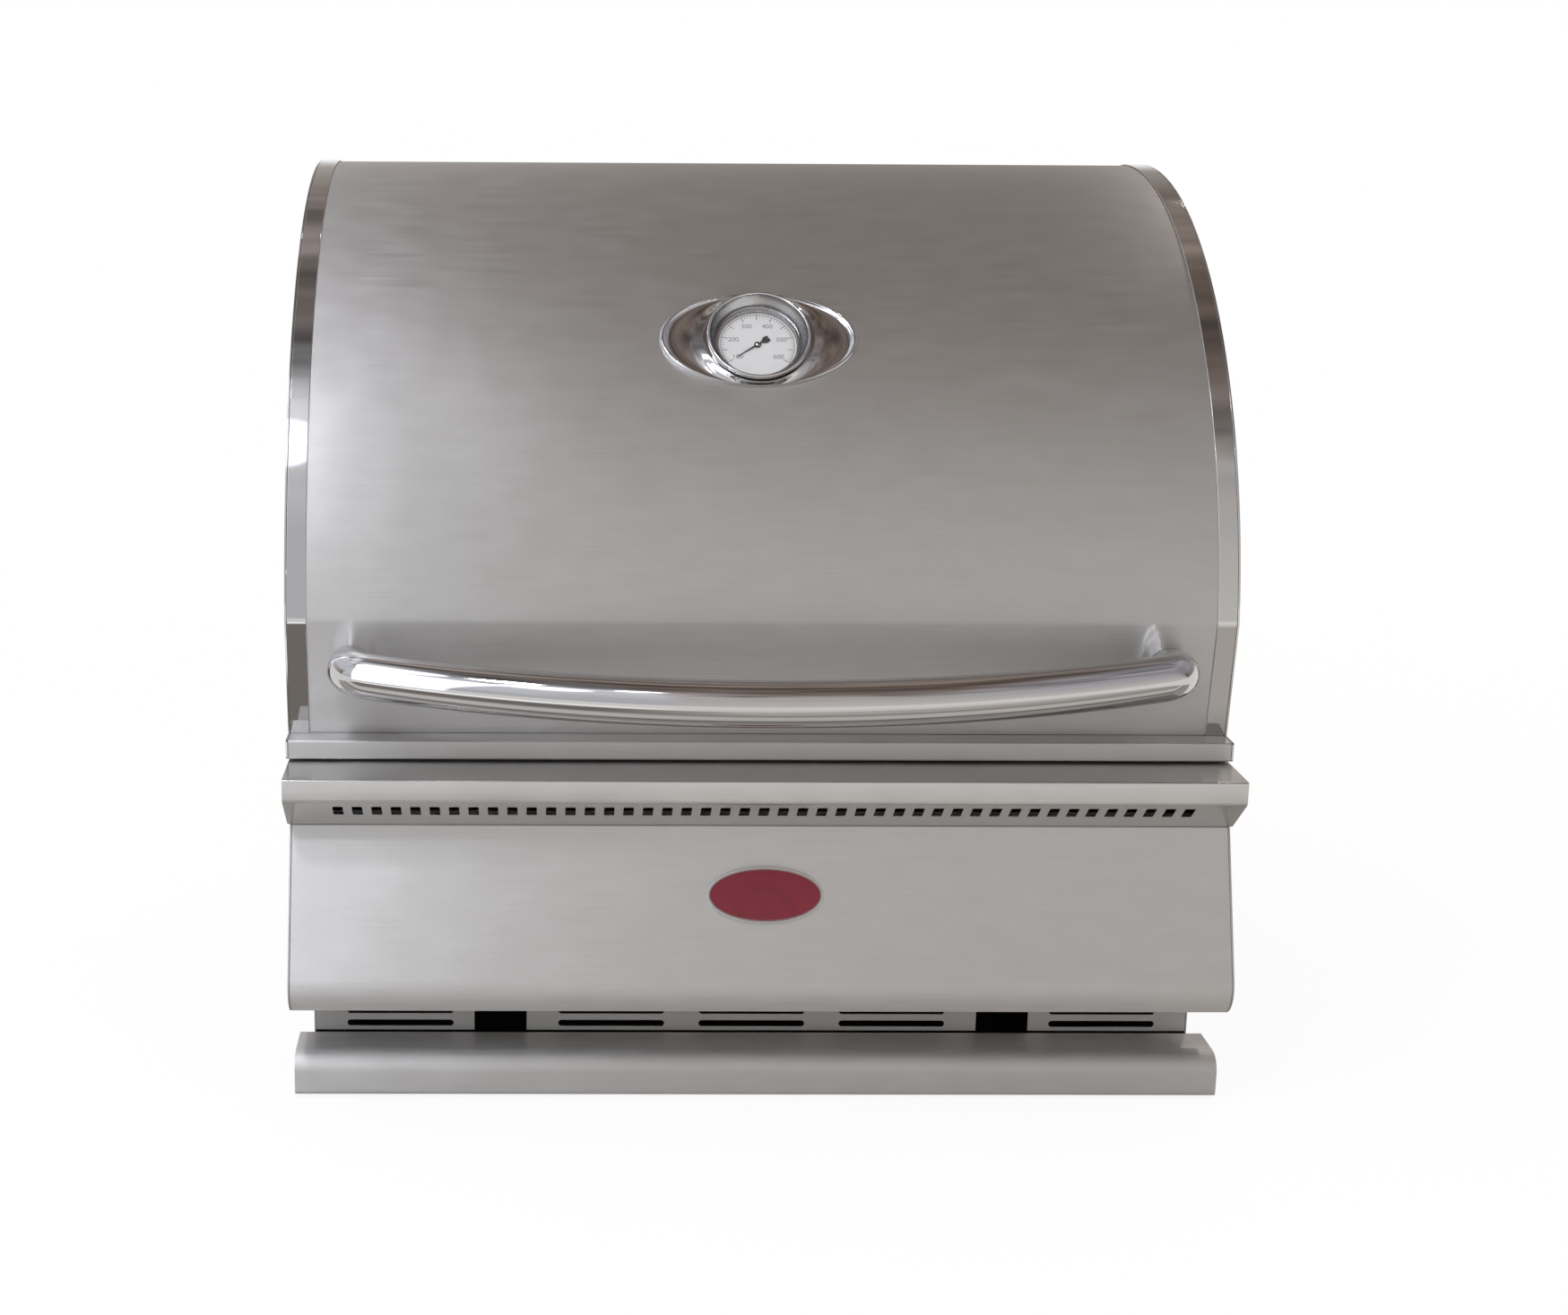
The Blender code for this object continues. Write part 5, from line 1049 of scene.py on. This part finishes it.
rim_rows = [(0.001, 0, 0), (0, 1, 0), (0, 1, 0.0021), (0.0002, 1, 0.0027), (0.0006, 1, 0.0031), (0.0011, 1, 0.0032),
            (0.0016, 1, 0.0031), (0.0020, 1, 0.0027), (0.0022, 1, 0.0021), (0.0022, 1, 0.0012), (0.0022, 0, 0.0012)]
make_piece("badge_rim", [ovals(rim_rows)], "base", ["emblem_rim"], [polished], closed=True)
enamel_rows = [(0.0025, 0, 0.0015), (0.0025, 1, 0.0015), (0.0025, 1, 0.0020)]
enamel_rows += [(0.0025, s * 0.985, 0.0021 + 0.0008 * (1 - s ** 2)) for s in np.linspace(1, 0, 14)]
make_piece("badge_enamel", [ovals(enamel_rows)], "base", ["emblem_inlay"], [enamel], closed=True)

# %% [markdown]
# ## The other pieces
#
# Side panels, decks, firebox, grates, trays and hinges are straight cuts and folds, and the CAD already has
# their true shape. A copy of each is welded, its edges are rounded by a fraction of a millimetre, and a grain
# map is laid on it: faces that look sideways run their grain front to back, all others run it across. The CAD
# solids themselves stay untouched.

# %% Refined copies
def refine(node, finish, crease=32):
    """Welded copy of a CAD solid with rounded edges. U and V are the two coordinates that a face's normal
    points along least, so the pattern keeps its scale on every side."""
    source = frame["nodes"][node]
    mesh = source.data.copy()
    mesh.name = f"{node}_finished"
    work = bmesh.new()
    work.from_mesh(mesh)
    bmesh.ops.remove_doubles(work, verts=work.verts, dist=0.000001)
    bmesh.ops.dissolve_limit(work, angle_limit=math.radians(0.5), verts=work.verts, edges=work.edges)
    work.to_mesh(mesh)
    work.free()
    while mesh.uv_layers:
        mesh.uv_layers.remove(mesh.uv_layers[0])
    corner = np.zeros(len(mesh.loops), int)
    mesh.loops.foreach_get("vertex_index", corner)
    facing = np.array([p.normal for p in mesh.polygons])
    main = np.repeat(np.abs(facing).argmax(axis=1), [p.loop_total for p in mesh.polygons])
    co = np.array([v.co for v in mesh.vertices])[corner]
    uv = np.stack([np.where(main == 0, co[:, 1], co[:, 0]), np.where(main == 2, co[:, 1], co[:, 2])], axis=1)
    mesh.uv_layers.new(name="grain").data.foreach_set("uv", uv.reshape(-1).astype(np.float32))
    mesh.materials.clear()
    mesh.materials.append(finish)
    mesh.shade_smooth()
    mesh.set_sharp_from_angle(angle=math.radians(crease))
    made = put(f"{node}_finished", mesh)
    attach(made, source["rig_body"])
    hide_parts(node)
    soften(made, angle=crease)


print("solids in the CAD", len(frame["nodes"]))


# %% Which solid gets which finish
def both(*names):
    """Left and right piece of each name."""
    return [f"{name}_{side}" for name in names for side in ("left", "right")]


COPIES = {
    "brushed_stainless": (brushed, both("side_panel") + ["back_panel"] + both("deck") + ["deck_rear"]
                          + both("fascia_end") + ["rear_upstand"]),
    "polished_stainless": (polished, both("hood_end")),
    "plain_stainless": (mill_steel, ["floor_pan"] + both("runner", "hinge_bracket", "hinge_pin") + ["ash_tray"]
                        + both("hood_rest")),
    "firebox_stainless": (firebox_steel, ["firebox_front", "firebox_back"] + both("firebox")
                          + ["grate_ledge_front", "grate_ledge_back"] + both("cooking_grate") + ["charcoal_tray"]
                          + both("charcoal_handle")
                          + [f"{pin}_{end}" for pin in both("tray_pin") for end in ("front", "back")])}
for slot_name, (finish, names) in COPIES.items():
    for name in names:
        refine(name, finish)
print("refined copies", sum(len(names) for _, names in COPIES.values()))

# %% [markdown]
# ## What stays as CAD
#
# Bolts, the gauge's nut and its stem are small, plain and mostly hidden. Their solids are right as they are, so
# they only get the mill finish, which reads object coordinates and needs no grain map.

# %% Finish for the CAD nodes still shown
for name, thing in frame["nodes"].items():
    if not thing.hide_render:
        thing.data.materials.clear()
        thing.data.materials.append(mill_steel)
        print("CAD node shown:", name)
